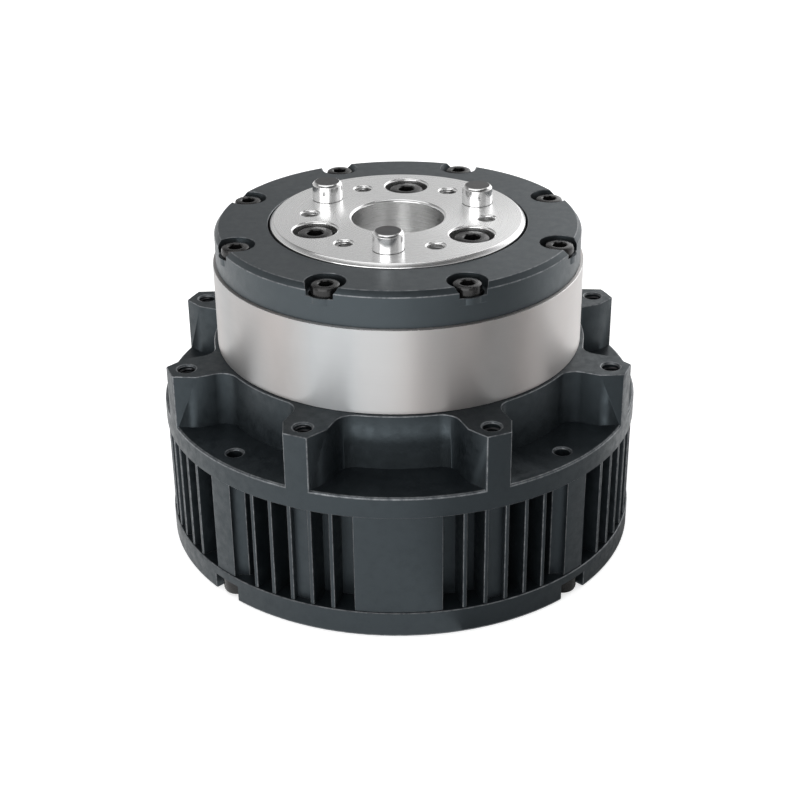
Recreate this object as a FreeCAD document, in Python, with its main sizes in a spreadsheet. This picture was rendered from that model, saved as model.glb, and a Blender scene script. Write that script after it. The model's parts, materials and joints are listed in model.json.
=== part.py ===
# A geared robot joint actuator: a finned housing with an inrunner motor, a planetary stage inside a plain
# metal ring, and a round output flange with three dowel pins. Millimetres, +Z along the output axis,
# origin at the centre of the rear face.
import FreeCAD, Part
import math
import os
import Sketcher

# ---------------------------------------------------------------- driving sizes
SIZES = {
    # stack of planes, from the rear face up
    "rear_cover_height": 5.3,
    "fin_height": 20.7,
    "rim_height": 4.35,
    "boss_height": 10.95,
    "ring_height": 16.9,
    "cover_height": 7.15,
    "flange_proud": 0.75,
    "pin_proud": 3.65,
    # housing
    "housing_diameter": 96.0,
    "fin_recess": 0.25,
    "rim_bevel": 0.3,
    "slot_depth": 5.15,
    "shell_wall": 1.6,
    "fin_thickness": 0.85,
    "fin_pitch_angle": 5.0,
    "sector_count": 8,
    "pad_edge_angle": 9.5,
    "pad_corner_radius": 2.0,
    "shallow_slot_depth": 1.3,
    "hub_step": 0.8,
    "rim_floor_thickness": 2.6,
    "gear_chamber_wall": 7.4,
    "gear_chamber_depth": 5.3,
    "bearing_tube_radius": 11.0,
    # mounting bosses on the rim
    "boss_half_width": 4.4,
    "boss_tip_half_width": 2.4,
    "boss_shoulder_inset": 4.2,
    "boss_root_radius": 3.5,
    "boss_hole_inset": 3.5,
    "boss_hole_radius": 1.65,
    "hole_bevel": 0.3,
    # screws: M3 holds the covers, M4 holds the output carrier
    "small_screw_radius": 1.5,
    "small_head_radius": 2.75,
    "small_head_height": 3.0,
    "small_socket_width": 2.5,
    "large_screw_radius": 2.0,
    "large_head_radius": 3.5,
    "large_head_height": 4.0,
    "large_socket_width": 3.0,
    "screw_clearance": 0.1,
    "head_clearance": 1.0,
    "rear_screw_count": 4,
    "rear_screw_inset": 2.9,
    "floor_hole_inset": 4.2,
    "floor_hole_depth": 6.0,
    "rear_screw_length": 20.0,
    "rear_notch_depth": 3.4,
    "rear_notch_radius": 3.3,
    "cover_screw_count": 8,
    "cover_screw_length": 25.0,
    "cover_notch_depth": 3.45,
    # planetary stage
    "gear_module": 0.83,
    "sun_teeth": 12,
    "planet_teeth": 30,
    "planet_count": 3,
    "addendum_share": 0.85,
    "dedendum_share": 1.1,
    "pressure_angle": 20.0,
    "tooth_backlash": 0.08,
    "planet_height": 9.5,
    "gear_side_gap": 0.8,
    "planet_lift": 1.2,
    "planet_bush_wall": 1.0,
    "running_clearance": 0.03,
    # output side
    "output_turn": -95.3,
    "flange_radius": 25.1,
    "flange_bevel": 0.7,
    "flange_gap": 0.4,
    "pilot_radius": 9.0,
    "pilot_depth": 10.3,
    "pilot_bevel": 0.4,
    "pin_radius": 3.0,
    "pin_bevel": 0.5,
    "pin_relief_depth": 0.2,
    "pin_relief_height": 0.8,
    "output_hole_radius": 1.65,
    "output_hole_depth": 9.0,
    "output_hole_offset": 30.0,
    "carrier_counterbore_depth": 4.6,
    "carrier_counterbore_radius": 4.25,
    "thread_run_out": 0.5,
    "carrier_screw_length": 16.0,
    "carrier_plate_radius": 23.0,
    "carrier_plate_height": 4.1,
    "carrier_post_radius": 3.7,
    "carrier_bore_radius": 8.0,
    # output bearing
    "seat_step": 0.2,
    "seat_wall": 0.6,
    "ring_outer_wall": 1.8,
    "cover_inset": 0.6,
    "cover_bevel_width": 0.8,
    "cover_bevel_height": 1.1,
    "output_bearing_height": 7.0,
    "race_wall": 2.0,
    "roller_radius": 1.5,
    "roller_count": 18,
    "roller_end_gap": 0.5,
    "race_step": 0.3,
    # motor
    "coil_headroom": 0.65,
    "stator_base": 10.0,
    "stator_depth": 11.5,
    "stator_slot_count": 12,
    "stator_yoke": 3.0,
    "stator_shoe": 2.4,
    "tooth_half_width": 4.0,
    "slot_mouth_half_width": 1.1,
    "coil_thickness": 2.0,
    "coil_overhang": 3.0,
    "coil_gap": 0.1,
    "air_gap": 0.6,
    "magnet_thickness": 2.5,
    "magnet_count": 14,
    "magnet_angle": 22.0,
    "rotor_rim_wall": 3.0,
    "rotor_web_height": 3.0,
    "shaft_radius": 4.0,
    "shaft_shoulder": 1.0,
    "shaft_tail": 1.5,
    "sun_spigot_radius": 2.5,
    # rotor bearings
    "rotor_bearing_radius": 8.0,
    "rotor_bearing_height": 4.0,
    "rotor_bearing_split": 5.5,
    "rotor_bearing_lip": 1.2,
    "rotor_bearing_spacing": 3.5,
    # electronics
    "rear_floor": 2.2,
    "rear_wall_width": 8.5,
    "board_lift": 1.6,
    "board_thickness": 1.6,
    "board_gap": 1.0,
    "standoff_radius": 2.6,
    "board_screw_radius": 1.0,
    "board_screw_head_radius": 1.9,
    "board_screw_head_height": 1.3,
    "board_screw_count": 4,
    "encoder_magnet_radius": 3.0,
    "encoder_magnet_height": 1.8,
    "power_socket_length": 13.0,
    "power_socket_width": 7.0,
    "signal_socket_length": 8.0,
    "signal_socket_width": 5.0,
    "socket_edge_distance": 14.5,
    "socket_inset": 0.4,
    "window_gap": 0.4,
    "contact_radius_share": 0.3,
    "contact_depth_share": 0.75,
}

DOC = FreeCAD.newDocument("joint_actuator")
SHEET = DOC.addObject("Spreadsheet::Sheet", "Sizes")
for row, (alias, number) in enumerate(SIZES.items(), start=1):
    SHEET.set(f"A{row}", alias.replace("_", " "))
    SHEET.set(f"B{row}", str(number))
    SHEET.setAlias(f"B{row}", alias)
DOC.recompute()


class Size:
    """A number together with the spreadsheet expression that it comes from."""

    def __init__(self, value, text):
        self.value = float(value)
        self.text = text

    def __add__(self, other):
        other = as_size(other)
        return Size(self.value + other.value, f"({self.text} + {other.text})")

    def __sub__(self, other):
        other = as_size(other)
        return Size(self.value - other.value, f"({self.text} - {other.text})")

    def __mul__(self, other):
        other = as_size(other)
        return Size(self.value * other.value, f"({self.text} * {other.text})")

    def __truediv__(self, other):
        other = as_size(other)
        return Size(self.value / other.value, f"({self.text} / {other.text})")

    def __neg__(self):
        return Size(-self.value, f"(-1 * {self.text})")


def as_size(item):
    if isinstance(item, Size):
        return item
    return Size(item, f"{float(item):.6f}")


def cell(alias):
    return Size(SHEET.get(alias), f"Sizes.{alias}")


def count(alias):
    return int(round(cell(alias).value))


def sine(angle):
    angle = as_size(angle)
    return Size(math.sin(math.radians(angle.value)), f"sin({angle.text} * 1 deg)")


def cosine(angle):
    angle = as_size(angle)
    return Size(math.cos(math.radians(angle.value)), f"cos({angle.text} * 1 deg)")


def tangent(angle):
    angle = as_size(angle)
    return Size(math.tan(math.radians(angle.value)), f"tan({angle.text} * 1 deg)")


def root(area):
    return Size(math.sqrt(area.value), f"sqrt({area.text})")


# ---------------------------------------------------------------- derived planes and radii
ZERO = as_size(0.0)
HALF = 0.5
OVERSHOOT = 1.0  # how far a cutter reaches past the face that it cuts

Z_FIN_BOTTOM = cell("rear_cover_height")
Z_FIN_TOP = Z_FIN_BOTTOM + cell("fin_height")
Z_RIM_TOP = Z_FIN_TOP + cell("rim_height")
Z_BOSS_TOP = Z_RIM_TOP + cell("boss_height")
Z_RING_TOP = Z_BOSS_TOP + cell("ring_height")
Z_COVER_TOP = Z_RING_TOP + cell("cover_height")
Z_FLANGE_TOP = Z_COVER_TOP + cell("flange_proud")
Z_PIN_TOP = Z_FLANGE_TOP + cell("pin_proud")

HOUSING_RADIUS = cell("housing_diameter") * HALF
PAD_RADIUS = HOUSING_RADIUS - cell("fin_recess")
SLOT_FLOOR_RADIUS = PAD_RADIUS - cell("slot_depth")
STATOR_RADIUS = SLOT_FLOOR_RADIUS - cell("shell_wall")

CENTRE_DISTANCE = cell("gear_module") * (cell("sun_teeth") + cell("planet_teeth")) * HALF
RING_TEETH = cell("sun_teeth") + cell("planet_teeth") * 2
RING_ROOT_RADIUS = cell("gear_module") * (RING_TEETH * HALF + cell("dedendum_share"))
BEARING_SEAT_RADIUS = RING_ROOT_RADIUS + cell("seat_step")
SMALL_HOLE_RADIUS = cell("small_screw_radius") + cell("screw_clearance")
LARGE_HOLE_RADIUS = cell("large_screw_radius") + cell("screw_clearance")
COVER_SCREW_CIRCLE = BEARING_SEAT_RADIUS + cell("seat_wall") + SMALL_HOLE_RADIUS
RING_RADIUS = COVER_SCREW_CIRCLE + SMALL_HOLE_RADIUS + cell("ring_outer_wall")
COVER_RADIUS = RING_RADIUS - cell("cover_inset")
HUB_RADIUS = RING_RADIUS + cell("hub_step")
CHAMBER_RADIUS = HUB_RADIUS - cell("gear_chamber_wall")
BOSS_HOLE_CIRCLE = HOUSING_RADIUS - cell("boss_hole_inset")
REAR_SCREW_CIRCLE = HOUSING_RADIUS - cell("rear_screw_inset")
FLOOR_HOLE_CIRCLE = HOUSING_RADIUS - cell("floor_hole_inset")
COVER_NOTCH_RADIUS = cell("small_head_radius") + cell("head_clearance")

Z_CHAMBER_FLOOR = Z_BOSS_TOP - cell("gear_chamber_depth")
Z_MOTOR_CEILING = Z_RIM_TOP - cell("rim_floor_thickness")
Z_FRONT_SEAT = Z_CHAMBER_FLOOR - cell("rotor_bearing_height")
Z_REAR_SEAT = Z_FRONT_SEAT - cell("rotor_bearing_spacing")
Z_TUBE_END = Z_REAR_SEAT - cell("rotor_bearing_height")

Z_PLANET_BOTTOM = Z_BOSS_TOP + cell("planet_lift")
Z_PLANET_TOP = Z_PLANET_BOTTOM + cell("planet_height")
Z_FLANGE_BASE = Z_PLANET_TOP + cell("gear_side_gap")
Z_RACE_BOTTOM = Z_FLANGE_BASE + cell("race_step")
Z_RACE_TOP = Z_RACE_BOTTOM + cell("output_bearing_height")
Z_CARRIER_TOP = Z_PLANET_BOTTOM - cell("gear_side_gap")
Z_CARRIER_BOTTOM = Z_CARRIER_TOP - cell("carrier_plate_height")
Z_FLANGE_SEAT = Z_RACE_TOP - cell("race_step")
Z_COUNTERBORE = Z_FLANGE_TOP - cell("carrier_counterbore_depth")
Z_CARRIER_SCREW_END = Z_COUNTERBORE - cell("carrier_screw_length")

HUB_SEAT_RADIUS = BEARING_SEAT_RADIUS - cell("race_wall") * 2 - cell("roller_radius") * 2
ROLLER_CIRCLE = HUB_SEAT_RADIUS + cell("race_wall") + cell("roller_radius")
FLANGE_HOLE_RADIUS = cell("flange_radius") + cell("flange_gap")
PLANET_BORE_RADIUS = cell("pin_radius") + cell("running_clearance") + cell("planet_bush_wall")

STATOR_BORE = STATOR_RADIUS - cell("stator_depth")
MAGNET_RADIUS = STATOR_BORE - cell("air_gap")
ROTOR_RIM_RADIUS = MAGNET_RADIUS - cell("magnet_thickness")
Z_STATOR_TOP = Z_MOTOR_CEILING - cell("coil_headroom") - cell("coil_overhang") - cell("coil_gap")
STATOR_HEIGHT = Z_STATOR_TOP - cell("stator_base")
SECTOR_ANGLE = as_size(360.0) / cell("sector_count")

Z_BOARD_BOTTOM = cell("rear_floor") + cell("board_lift")
Z_BOARD_TOP = Z_BOARD_BOTTOM + cell("board_thickness")
BOARD_RADIUS = HOUSING_RADIUS - cell("rear_wall_width") - cell("board_gap")
BOARD_SCREW_CIRCLE = BOARD_RADIUS - cell("standoff_radius") - cell("board_gap") * HALF
SOCKET_OFFSET = BOARD_RADIUS - cell("socket_edge_distance")

NODES = []


# ---------------------------------------------------------------- building helpers
def bind(target, path, size):
    target.setExpression(path, size.text)


def origin_feature(body, role):
    return [item for item in body.Origin.OriginFeatures if item.Role == role][0]


def new_body(label, node=True):
    body = DOC.addObject("PartDesign::Body", label)
    body.Label = label
    if node:
        NODES.append(body)
    return body


def new_sketch(body, name, role, height=ZERO, turn=ZERO):
    sketch = body.newObject("Sketcher::SketchObject", name)
    sketch.AttachmentSupport = [(origin_feature(body, role), "")]
    sketch.MapMode = "FlatFace"
    spin = FreeCAD.Rotation(FreeCAD.Vector(0, 0, 1), turn.value)
    sketch.AttachmentOffset = FreeCAD.Placement(FreeCAD.Vector(0, 0, height.value), spin)
    bind(sketch, "AttachmentOffset.Base.z", height)
    bind(sketch, "AttachmentOffset.Rotation.Angle", turn)
    return sketch


def constrain(sketch, kind, size, *where):
    index = sketch.addConstraint(Sketcher.Constraint(kind, *where, size.value))
    bind(sketch, f"Constraints[{index}]", size)


def fix_point(sketch, curve, end, x, y):
    constrain(sketch, "DistanceX", x, -1, 1, curve, end)
    constrain(sketch, "DistanceY", y, -1, 1, curve, end)


def add_arc(sketch, start, finish, radius, side):
    """An arc of the given radius; side is +1 where its centre lies left of the way from start to finish."""
    chord = finish - start
    middle = (start + finish) * HALF
    rise = math.sqrt(max(radius**2 - (chord.Length * HALF) ** 2, 0.0))
    across = FreeCAD.Vector(-chord.y, chord.x, 0).normalize()
    centre = middle + across * (rise * side)
    first, last = (start, finish) if side > 0 else (finish, start)
    from_angle = math.atan2(first.y - centre.y, first.x - centre.x)
    to_angle = math.atan2(last.y - centre.y, last.x - centre.x)
    if to_angle < from_angle:
        to_angle += 2 * math.pi
    circle = Part.Circle(centre, FreeCAD.Vector(0, 0, 1), radius)
    return sketch.addGeometry(Part.ArcOfCircle(circle, from_angle, to_angle), False)


def add_outline(sketch, corners):
    """A closed outline of corners (x, y), or (x, y, radius, side) where an arc runs to the next corner."""
    spots = [FreeCAD.Vector(corner[0].value, corner[1].value, 0) for corner in corners]
    ends = []
    for index, corner in enumerate(corners):
        start = spots[index]
        finish = spots[(index + 1) % len(spots)]
        if len(corner) == 2:
            curve = sketch.addGeometry(Part.LineSegment(start, finish), False)
            ends.append((curve, 1, 2))
            continue
        radius, side = corner[2], corner[3]
        curve = add_arc(sketch, start, finish, radius.value, side)
        ends.append((curve, 1, 2) if side > 0 else (curve, 2, 1))
        constrain(sketch, "Radius", radius, curve)
    for index, (curve, start_end, finish_end) in enumerate(ends):
        after, after_start, _ = ends[(index + 1) % len(ends)]
        sketch.addConstraint(Sketcher.Constraint("Coincident", curve, finish_end, after, after_start))
        fix_point(sketch, curve, start_end, corners[index][0], corners[index][1])


def add_circle(sketch, x, y, radius):
    centre = FreeCAD.Vector(x.value, y.value, 0)
    curve = sketch.addGeometry(Part.Circle(centre, FreeCAD.Vector(0, 0, 1), radius.value), False)
    fix_point(sketch, curve, 3, x, y)
    constrain(sketch, "Radius", radius, curve)


def revolve(body, name, corners):
    """Turns a closed (radius, height) outline about the body's Z axis."""
    sketch = new_sketch(body, f"{name}_profile", "XZ_Plane")
    add_outline(sketch, corners)
    turned = body.newObject("PartDesign::Revolution", name)
    turned.Profile = sketch
    turned.ReferenceAxis = (sketch, ["V_Axis"])
    turned.Angle = 360
    return turned


def pad(body, name, sketch, length):
    feature = body.newObject("PartDesign::Pad", name)
    feature.Profile = sketch
    bind(feature, "Length", length)
    return feature


def pocket(body, name, sketch, depth):
    feature = body.newObject("PartDesign::Pocket", name)
    feature.Profile = sketch
    bind(feature, "Length", depth)
    return feature


def polar(body, name, originals, copies):
    pattern = body.newObject("PartDesign::PolarPattern", name)
    pattern.Originals = originals
    pattern.Axis = (origin_feature(body, "Z_Axis"), [""])
    pattern.Angle = 360
    bind(pattern, "Occurrences", copies)
    body.Tip = pattern
    return pattern


def drill_circle(body, name, circle_radius, hole_radius, top, depth, copies, turn=ZERO):
    """A ring of equal round holes that run down from the height top."""
    sketch = new_sketch(body, f"{name}_sketch", "XY_Plane", top, turn)
    add_circle(sketch, circle_radius, ZERO, hole_radius)
    hole = pocket(body, name, sketch, depth)
    return polar(body, f"{name}_ring", [hole], copies)


def bevel_circle(body, name, circle_radius, hole_radius, top, copies, turn=ZERO):
    """Breaks the mouth edge of each hole in a ring of holes at 45 degrees."""
    width = cell("hole_bevel")
    sketch = new_sketch(body, f"{name}_sketch", "XY_Plane", top, turn)
    add_circle(sketch, circle_radius, ZERO, hole_radius + width)
    mouth = pocket(body, name, sketch, width)
    mouth.TaperAngle = -45
    return polar(body, f"{name}_ring", [mouth], copies)


def ring_body(label, inner, outer, bottom, top):
    body = new_body(label)
    revolve(body, f"{label}_turned", [(inner, bottom), (outer, bottom), (outer, top), (inner, top)])
    return body


def turned_place(angle, x=0.0, y=0.0):
    """A placement turned about Z by an angle, with its own centre at x, y."""
    return FreeCAD.Placement(FreeCAD.Vector(x, y, 0), FreeCAD.Rotation(FreeCAD.Vector(0, 0, 1), angle))


def shape_node(label, shape, place=FreeCAD.Placement()):
    """A node whose shape is made by direct modelling."""
    feature = DOC.addObject("Part::Feature", label)
    feature.Label = label
    feature.Shape = shape
    feature.Placement = place
    NODES.append(feature)
    return feature


def polar_group(label, source, copies, first_turn=ZERO):
    """A node of equal separate solids, set round the Z axis."""
    DOC.recompute()
    step = 360.0 / copies
    solids = []
    for index in range(copies):
        solid = source.Shape.copy()
        solid.rotate(FreeCAD.Vector(), FreeCAD.Vector(0, 0, 1), first_turn.value + index * step)
        solids.append(solid)
    return shape_node(label, Part.makeCompound(solids))


# ---------------------------------------------------------------- fasteners
def cap_screw(name, at_radius, seat, length, screw, head_up=True):
    """One socket cap screw whose head sits on the height seat, at at_radius along X."""
    way = 1 if head_up else -1
    radius = cell(f"{screw}_screw_radius")
    head_radius = cell(f"{screw}_head_radius")
    head_height = cell(f"{screw}_head_height")
    width = cell(f"{screw}_socket_width")
    body = new_body(name, node=False)
    tip = seat - length * way
    crown = seat + head_height * way
    revolve(body, f"{name}_blank", [
        (ZERO, tip),
        (radius, tip),
        (radius, seat),
        (head_radius, seat),
        (head_radius, crown),
        (ZERO, crown),
    ])
    sketch = new_sketch(body, f"{name}_socket_sketch", "XY_Plane", crown)
    across_corners = width / cosine(30.0) * HALF
    corners = []
    for side in range(6):
        corners.append((across_corners * cosine(60.0 * side), across_corners * sine(60.0 * side)))
    add_outline(sketch, corners)
    socket = pocket(body, f"{name}_socket", sketch, head_height * HALF)
    socket.Reversed = not head_up
    bind(body, "Placement.Base.x", at_radius)
    return body


# ---------------------------------------------------------------- housing
def fin_slot(body, name, centre_angle, floor_radius, side, widening=ZERO, corner=ZERO):
    """A radial slot between two fins; side +1 widens or rounds its far wall, -1 its near one."""
    half_pitch = cell("fin_pitch_angle") * HALF
    outer = HOUSING_RADIUS + OVERSHOOT
    half_fin = cell("fin_thickness") * HALF
    inner_half = floor_radius * tangent(half_pitch) - half_fin
    outer_half = outer * tangent(half_pitch) - half_fin
    sketch = new_sketch(body, f"{name}_sketch", "XY_Plane", Z_FIN_TOP, centre_angle)
    plain = [(outer, outer_half * -side), (floor_radius, inner_half * -side)]
    far_inner = inner_half + widening
    far_outer = outer_half + widening
    if corner.value > 0:
        pad_edge = root(PAD_RADIUS * PAD_RADIUS - (far_outer + corner) * (far_outer + corner))
        wall_half = (pad_edge - corner) * tangent(half_pitch) - half_fin
        far = [
            (floor_radius, far_inner * side),
            (pad_edge - corner, wall_half * side, corner, -side),
            (pad_edge, (wall_half + corner) * side),
            (outer, (wall_half + corner) * side),
        ]
    else:
        far = [(floor_radius, far_inner * side), (outer, far_outer * side)]
    add_outline(sketch, plain + far)
    return pocket(body, name, sketch, cell("fin_height"))


def main_housing():
    body = new_body("main_housing")
    hole = cell("rotor_bearing_radius")
    lip = hole - cell("rotor_bearing_lip")
    tube = cell("bearing_tube_radius")
    revolve(body, "housing_turned", [
        (STATOR_RADIUS, Z_FIN_BOTTOM),
        (PAD_RADIUS, Z_FIN_BOTTOM),
        (PAD_RADIUS, Z_FIN_TOP),
        (HOUSING_RADIUS, Z_FIN_TOP),
        (HOUSING_RADIUS, Z_RIM_TOP - cell("rim_bevel")),
        (HOUSING_RADIUS - cell("rim_bevel"), Z_RIM_TOP),
        (HUB_RADIUS, Z_RIM_TOP),
        (HUB_RADIUS, Z_BOSS_TOP),
        (CHAMBER_RADIUS, Z_BOSS_TOP),
        (CHAMBER_RADIUS, Z_CHAMBER_FLOOR),
        (hole, Z_CHAMBER_FLOOR),
        (hole, Z_FRONT_SEAT),
        (lip, Z_FRONT_SEAT),
        (lip, Z_REAR_SEAT),
        (hole, Z_REAR_SEAT),
        (hole, Z_TUBE_END),
        (tube, Z_TUBE_END),
        (tube, Z_MOTOR_CEILING),
        (STATOR_RADIUS, Z_MOTOR_CEILING),
    ])
    add_bosses(body)
    add_fins(body)
    half_sector = SECTOR_ANGLE * HALF
    drill_circle(body, "boss_holes", BOSS_HOLE_CIRCLE, cell("boss_hole_radius"), Z_BOSS_TOP,
                 cell("boss_height"), cell("sector_count"), half_sector)
    bevel_circle(body, "boss_mouths", BOSS_HOLE_CIRCLE, cell("boss_hole_radius"), Z_BOSS_TOP,
                 cell("sector_count"), half_sector)
    drill_circle(body, "cover_screw_threads", COVER_SCREW_CIRCLE, cell("small_screw_radius"), Z_BOSS_TOP,
                 cell("gear_chamber_depth"), cell("cover_screw_count"), half_sector)
    thread_end = cell("rear_notch_depth") + cell("rear_screw_length") + cell("thread_run_out")
    drill_circle(body, "rear_screw_threads", REAR_SCREW_CIRCLE, cell("small_screw_radius"), thread_end,
                 thread_end - Z_FIN_BOTTOM, cell("rear_screw_count"), SECTOR_ANGLE)
    drill_circle(body, "floor_threads", FLOOR_HOLE_CIRCLE, cell("small_screw_radius"), Z_RIM_TOP,
                 cell("floor_hole_depth"), cell("rear_screw_count"), SECTOR_ANGLE)
    bevel_circle(body, "floor_thread_mouths", FLOOR_HOLE_CIRCLE, cell("small_screw_radius"), Z_RIM_TOP,
                 cell("rear_screw_count"), SECTOR_ANGLE)
    return body


def add_bosses(body):
    """Tapered bosses that stand on the rim, flush with its edge, and flare into the hub."""
    width = cell("boss_half_width")
    tip = cell("boss_tip_half_width")
    flare = cell("boss_root_radius")
    flare_y = width + flare
    flare_x = root((HUB_RADIUS + flare) * (HUB_RADIUS + flare) - flare_y * flare_y)
    share = HUB_RADIUS / (HUB_RADIUS + flare)
    hub_x = flare_x * share
    hub_y = flare_y * share
    inside = CHAMBER_RADIUS + cell("gear_chamber_wall") * HALF
    tip_x = root(HOUSING_RADIUS * HOUSING_RADIUS - tip * tip)
    shoulder = HOUSING_RADIUS - cell("boss_shoulder_inset")
    foot = Z_RIM_TOP - cell("rim_bevel")
    sketch = new_sketch(body, "boss_sketch", "XY_Plane", foot, SECTOR_ANGLE * HALF)
    add_outline(sketch, [
        (inside, -hub_y),
        (hub_x, -hub_y, flare, -1),
        (flare_x, -width),
        (shoulder, -width),
        (tip_x, -tip, HOUSING_RADIUS, 1),
        (tip_x, tip),
        (shoulder, width),
        (flare_x, width, flare, -1),
        (hub_x, hub_y),
        (inside, hub_y),
    ])
    boss = pad(body, "boss", sketch, Z_BOSS_TOP - foot)
    polar(body, "boss_ring", [boss], cell("sector_count"))


def add_fins(body):
    """Cooling fins in eight sectors, mirrored about the four wide pads and the four narrow ones."""
    pitch = cell("fin_pitch_angle")
    middle = SECTOR_ANGLE * HALF
    first = middle - pitch * 2
    widening = (first - pitch * HALF - cell("pad_edge_angle")) * (math.pi / 180.0) * PAD_RADIUS
    slots = []
    for mirror, name in ((1, "left"), (-1, "right")):
        turn = ZERO if mirror > 0 else SECTOR_ANGLE * 2
        slots.append(fin_slot(body, f"pad_slot_{name}", turn + first * mirror, SLOT_FLOOR_RADIUS,
                              -mirror, widening=widening))
        for step in (-1, 1, 2):
            angle = turn + (middle + pitch * step) * mirror
            slots.append(fin_slot(body, f"slot_{name}", angle, SLOT_FLOOR_RADIUS, mirror))
        angle = turn + (middle + pitch * 3) * mirror
        slots.append(fin_slot(body, f"corner_slot_{name}", angle, SLOT_FLOOR_RADIUS, mirror,
                              corner=cell("pad_corner_radius")))
    polar(body, "slot_ring", slots, cell("sector_count") * HALF)
    shallow = fin_slot(body, "shallow_slot", middle, PAD_RADIUS - cell("shallow_slot_depth"), 1)
    polar(body, "shallow_slot_ring", [shallow], cell("sector_count"))


def rear_cover():
    body = new_body("rear_cover")
    recess = HOUSING_RADIUS - cell("rear_wall_width")
    revolve(body, "rear_cover_turned", [
        (ZERO, ZERO),
        (HOUSING_RADIUS - cell("rim_bevel"), ZERO),
        (HOUSING_RADIUS, cell("rim_bevel")),
        (HOUSING_RADIUS, Z_FIN_BOTTOM),
        (recess, Z_FIN_BOTTOM),
        (recess, cell("rear_floor")),
        (ZERO, cell("rear_floor")),
    ])
    standoff_sketch = new_sketch(body, "standoff_sketch", "XY_Plane", cell("rear_floor"), SECTOR_ANGLE)
    add_circle(standoff_sketch, BOARD_SCREW_CIRCLE, ZERO, cell("standoff_radius"))
    standoff = pad(body, "standoff", standoff_sketch, cell("board_lift"))
    polar(body, "standoff_ring", [standoff], cell("board_screw_count"))
    drill_circle(body, "standoff_threads", BOARD_SCREW_CIRCLE, cell("board_screw_radius"), Z_BOARD_BOTTOM,
                 cell("board_lift") + cell("rear_floor") * HALF, cell("board_screw_count"), SECTOR_ANGLE)
    radius = cell("rear_notch_radius")
    notch_sketch = new_sketch(body, "rear_notch_sketch", "XY_Plane", cell("rear_notch_depth"), SECTOR_ANGLE)
    outside = HOUSING_RADIUS + OVERSHOOT
    add_outline(notch_sketch, [
        (REAR_SCREW_CIRCLE, radius, radius, 1),
        (REAR_SCREW_CIRCLE - radius, ZERO, radius, 1),
        (REAR_SCREW_CIRCLE, -radius),
        (outside, -radius),
        (outside, radius),
    ])
    notch = pocket(body, "rear_notch", notch_sketch, cell("rear_notch_depth"))
    polar(body, "rear_notch_ring", [notch], cell("rear_screw_count"))
    drill_circle(body, "rear_screw_holes", REAR_SCREW_CIRCLE, SMALL_HOLE_RADIUS, Z_FIN_BOTTOM,
                 Z_FIN_BOTTOM, cell("rear_screw_count"), SECTOR_ANGLE)
    for name, side in (("power", 1), ("signal", -1)):
        half_length = cell(f"{name}_socket_length") * HALF + cell("window_gap")
        half_width = cell(f"{name}_socket_width") * HALF + cell("window_gap")
        middle = SOCKET_OFFSET * side
        sketch = new_sketch(body, f"{name}_window_sketch", "XY_Plane", cell("rear_floor"))
        add_outline(sketch, [
            (-half_length, middle - half_width),
            (half_length, middle - half_width),
            (half_length, middle + half_width),
            (-half_length, middle + half_width),
        ])
        window = pocket(body, f"{name}_window", sketch, cell("rear_floor"))
        body.Tip = window
    return body


def ring_gear():
    """The metal ring: internal teeth below, the output bearing's seat above, holes for long screws."""
    blank = new_body("ring_blank", node=False)
    revolve(blank, "ring_turned", [
        (HUB_SEAT_RADIUS, Z_BOSS_TOP),
        (RING_RADIUS, Z_BOSS_TOP),
        (RING_RADIUS, Z_RING_TOP),
        (BEARING_SEAT_RADIUS, Z_RING_TOP),
        (BEARING_SEAT_RADIUS, Z_RACE_BOTTOM),
        (HUB_SEAT_RADIUS, Z_RACE_BOTTOM),
    ])
    drill_circle(blank, "ring_screw_holes", COVER_SCREW_CIRCLE, SMALL_HOLE_RADIUS, Z_RING_TOP,
                 cell("ring_height"), cell("cover_screw_count"), SECTOR_ANGLE * HALF)
    module = cell("gear_module").value
    pitch_radius = module * RING_TEETH.value * HALF
    tip_radius = pitch_radius - module * cell("addendum_share").value
    spaces = gear_outline(RING_TEETH.value, tip_radius, RING_ROOT_RADIUS.value,
                          cell("tooth_backlash").value, pitch_point=False)
    teeth = DOC.addObject("Part::Feature", "ring_tooth_spaces")
    teeth.Shape = prism(spaces, Z_BOSS_TOP.value - OVERSHOOT, Z_RACE_BOTTOM.value)
    teeth.Placement = turned_place(cell("output_turn").value)
    toothed = DOC.addObject("Part::Cut", "ring_gear")
    toothed.Base = blank
    toothed.Tool = teeth
    toothed.Label = "ring_gear"
    NODES.append(toothed)
    return toothed


def front_cover():
    body = new_body("front_cover")
    revolve(body, "front_cover_turned", [
        (FLANGE_HOLE_RADIUS, Z_RACE_TOP),
        (BEARING_SEAT_RADIUS, Z_RACE_TOP),
        (BEARING_SEAT_RADIUS, Z_RING_TOP),
        (COVER_RADIUS, Z_RING_TOP),
        (COVER_RADIUS, Z_COVER_TOP - cell("cover_bevel_height")),
        (COVER_RADIUS - cell("cover_bevel_width"), Z_COVER_TOP),
        (FLANGE_HOLE_RADIUS, Z_COVER_TOP),
    ])
    half_sector = SECTOR_ANGLE * HALF
    drill_circle(body, "cover_notches", COVER_SCREW_CIRCLE, COVER_NOTCH_RADIUS, Z_COVER_TOP,
                 cell("cover_notch_depth"), cell("cover_screw_count"), half_sector)
    drill_circle(body, "cover_screw_holes", COVER_SCREW_CIRCLE, SMALL_HOLE_RADIUS, Z_COVER_TOP,
                 cell("cover_height"), cell("cover_screw_count"), half_sector)
    return body


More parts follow.
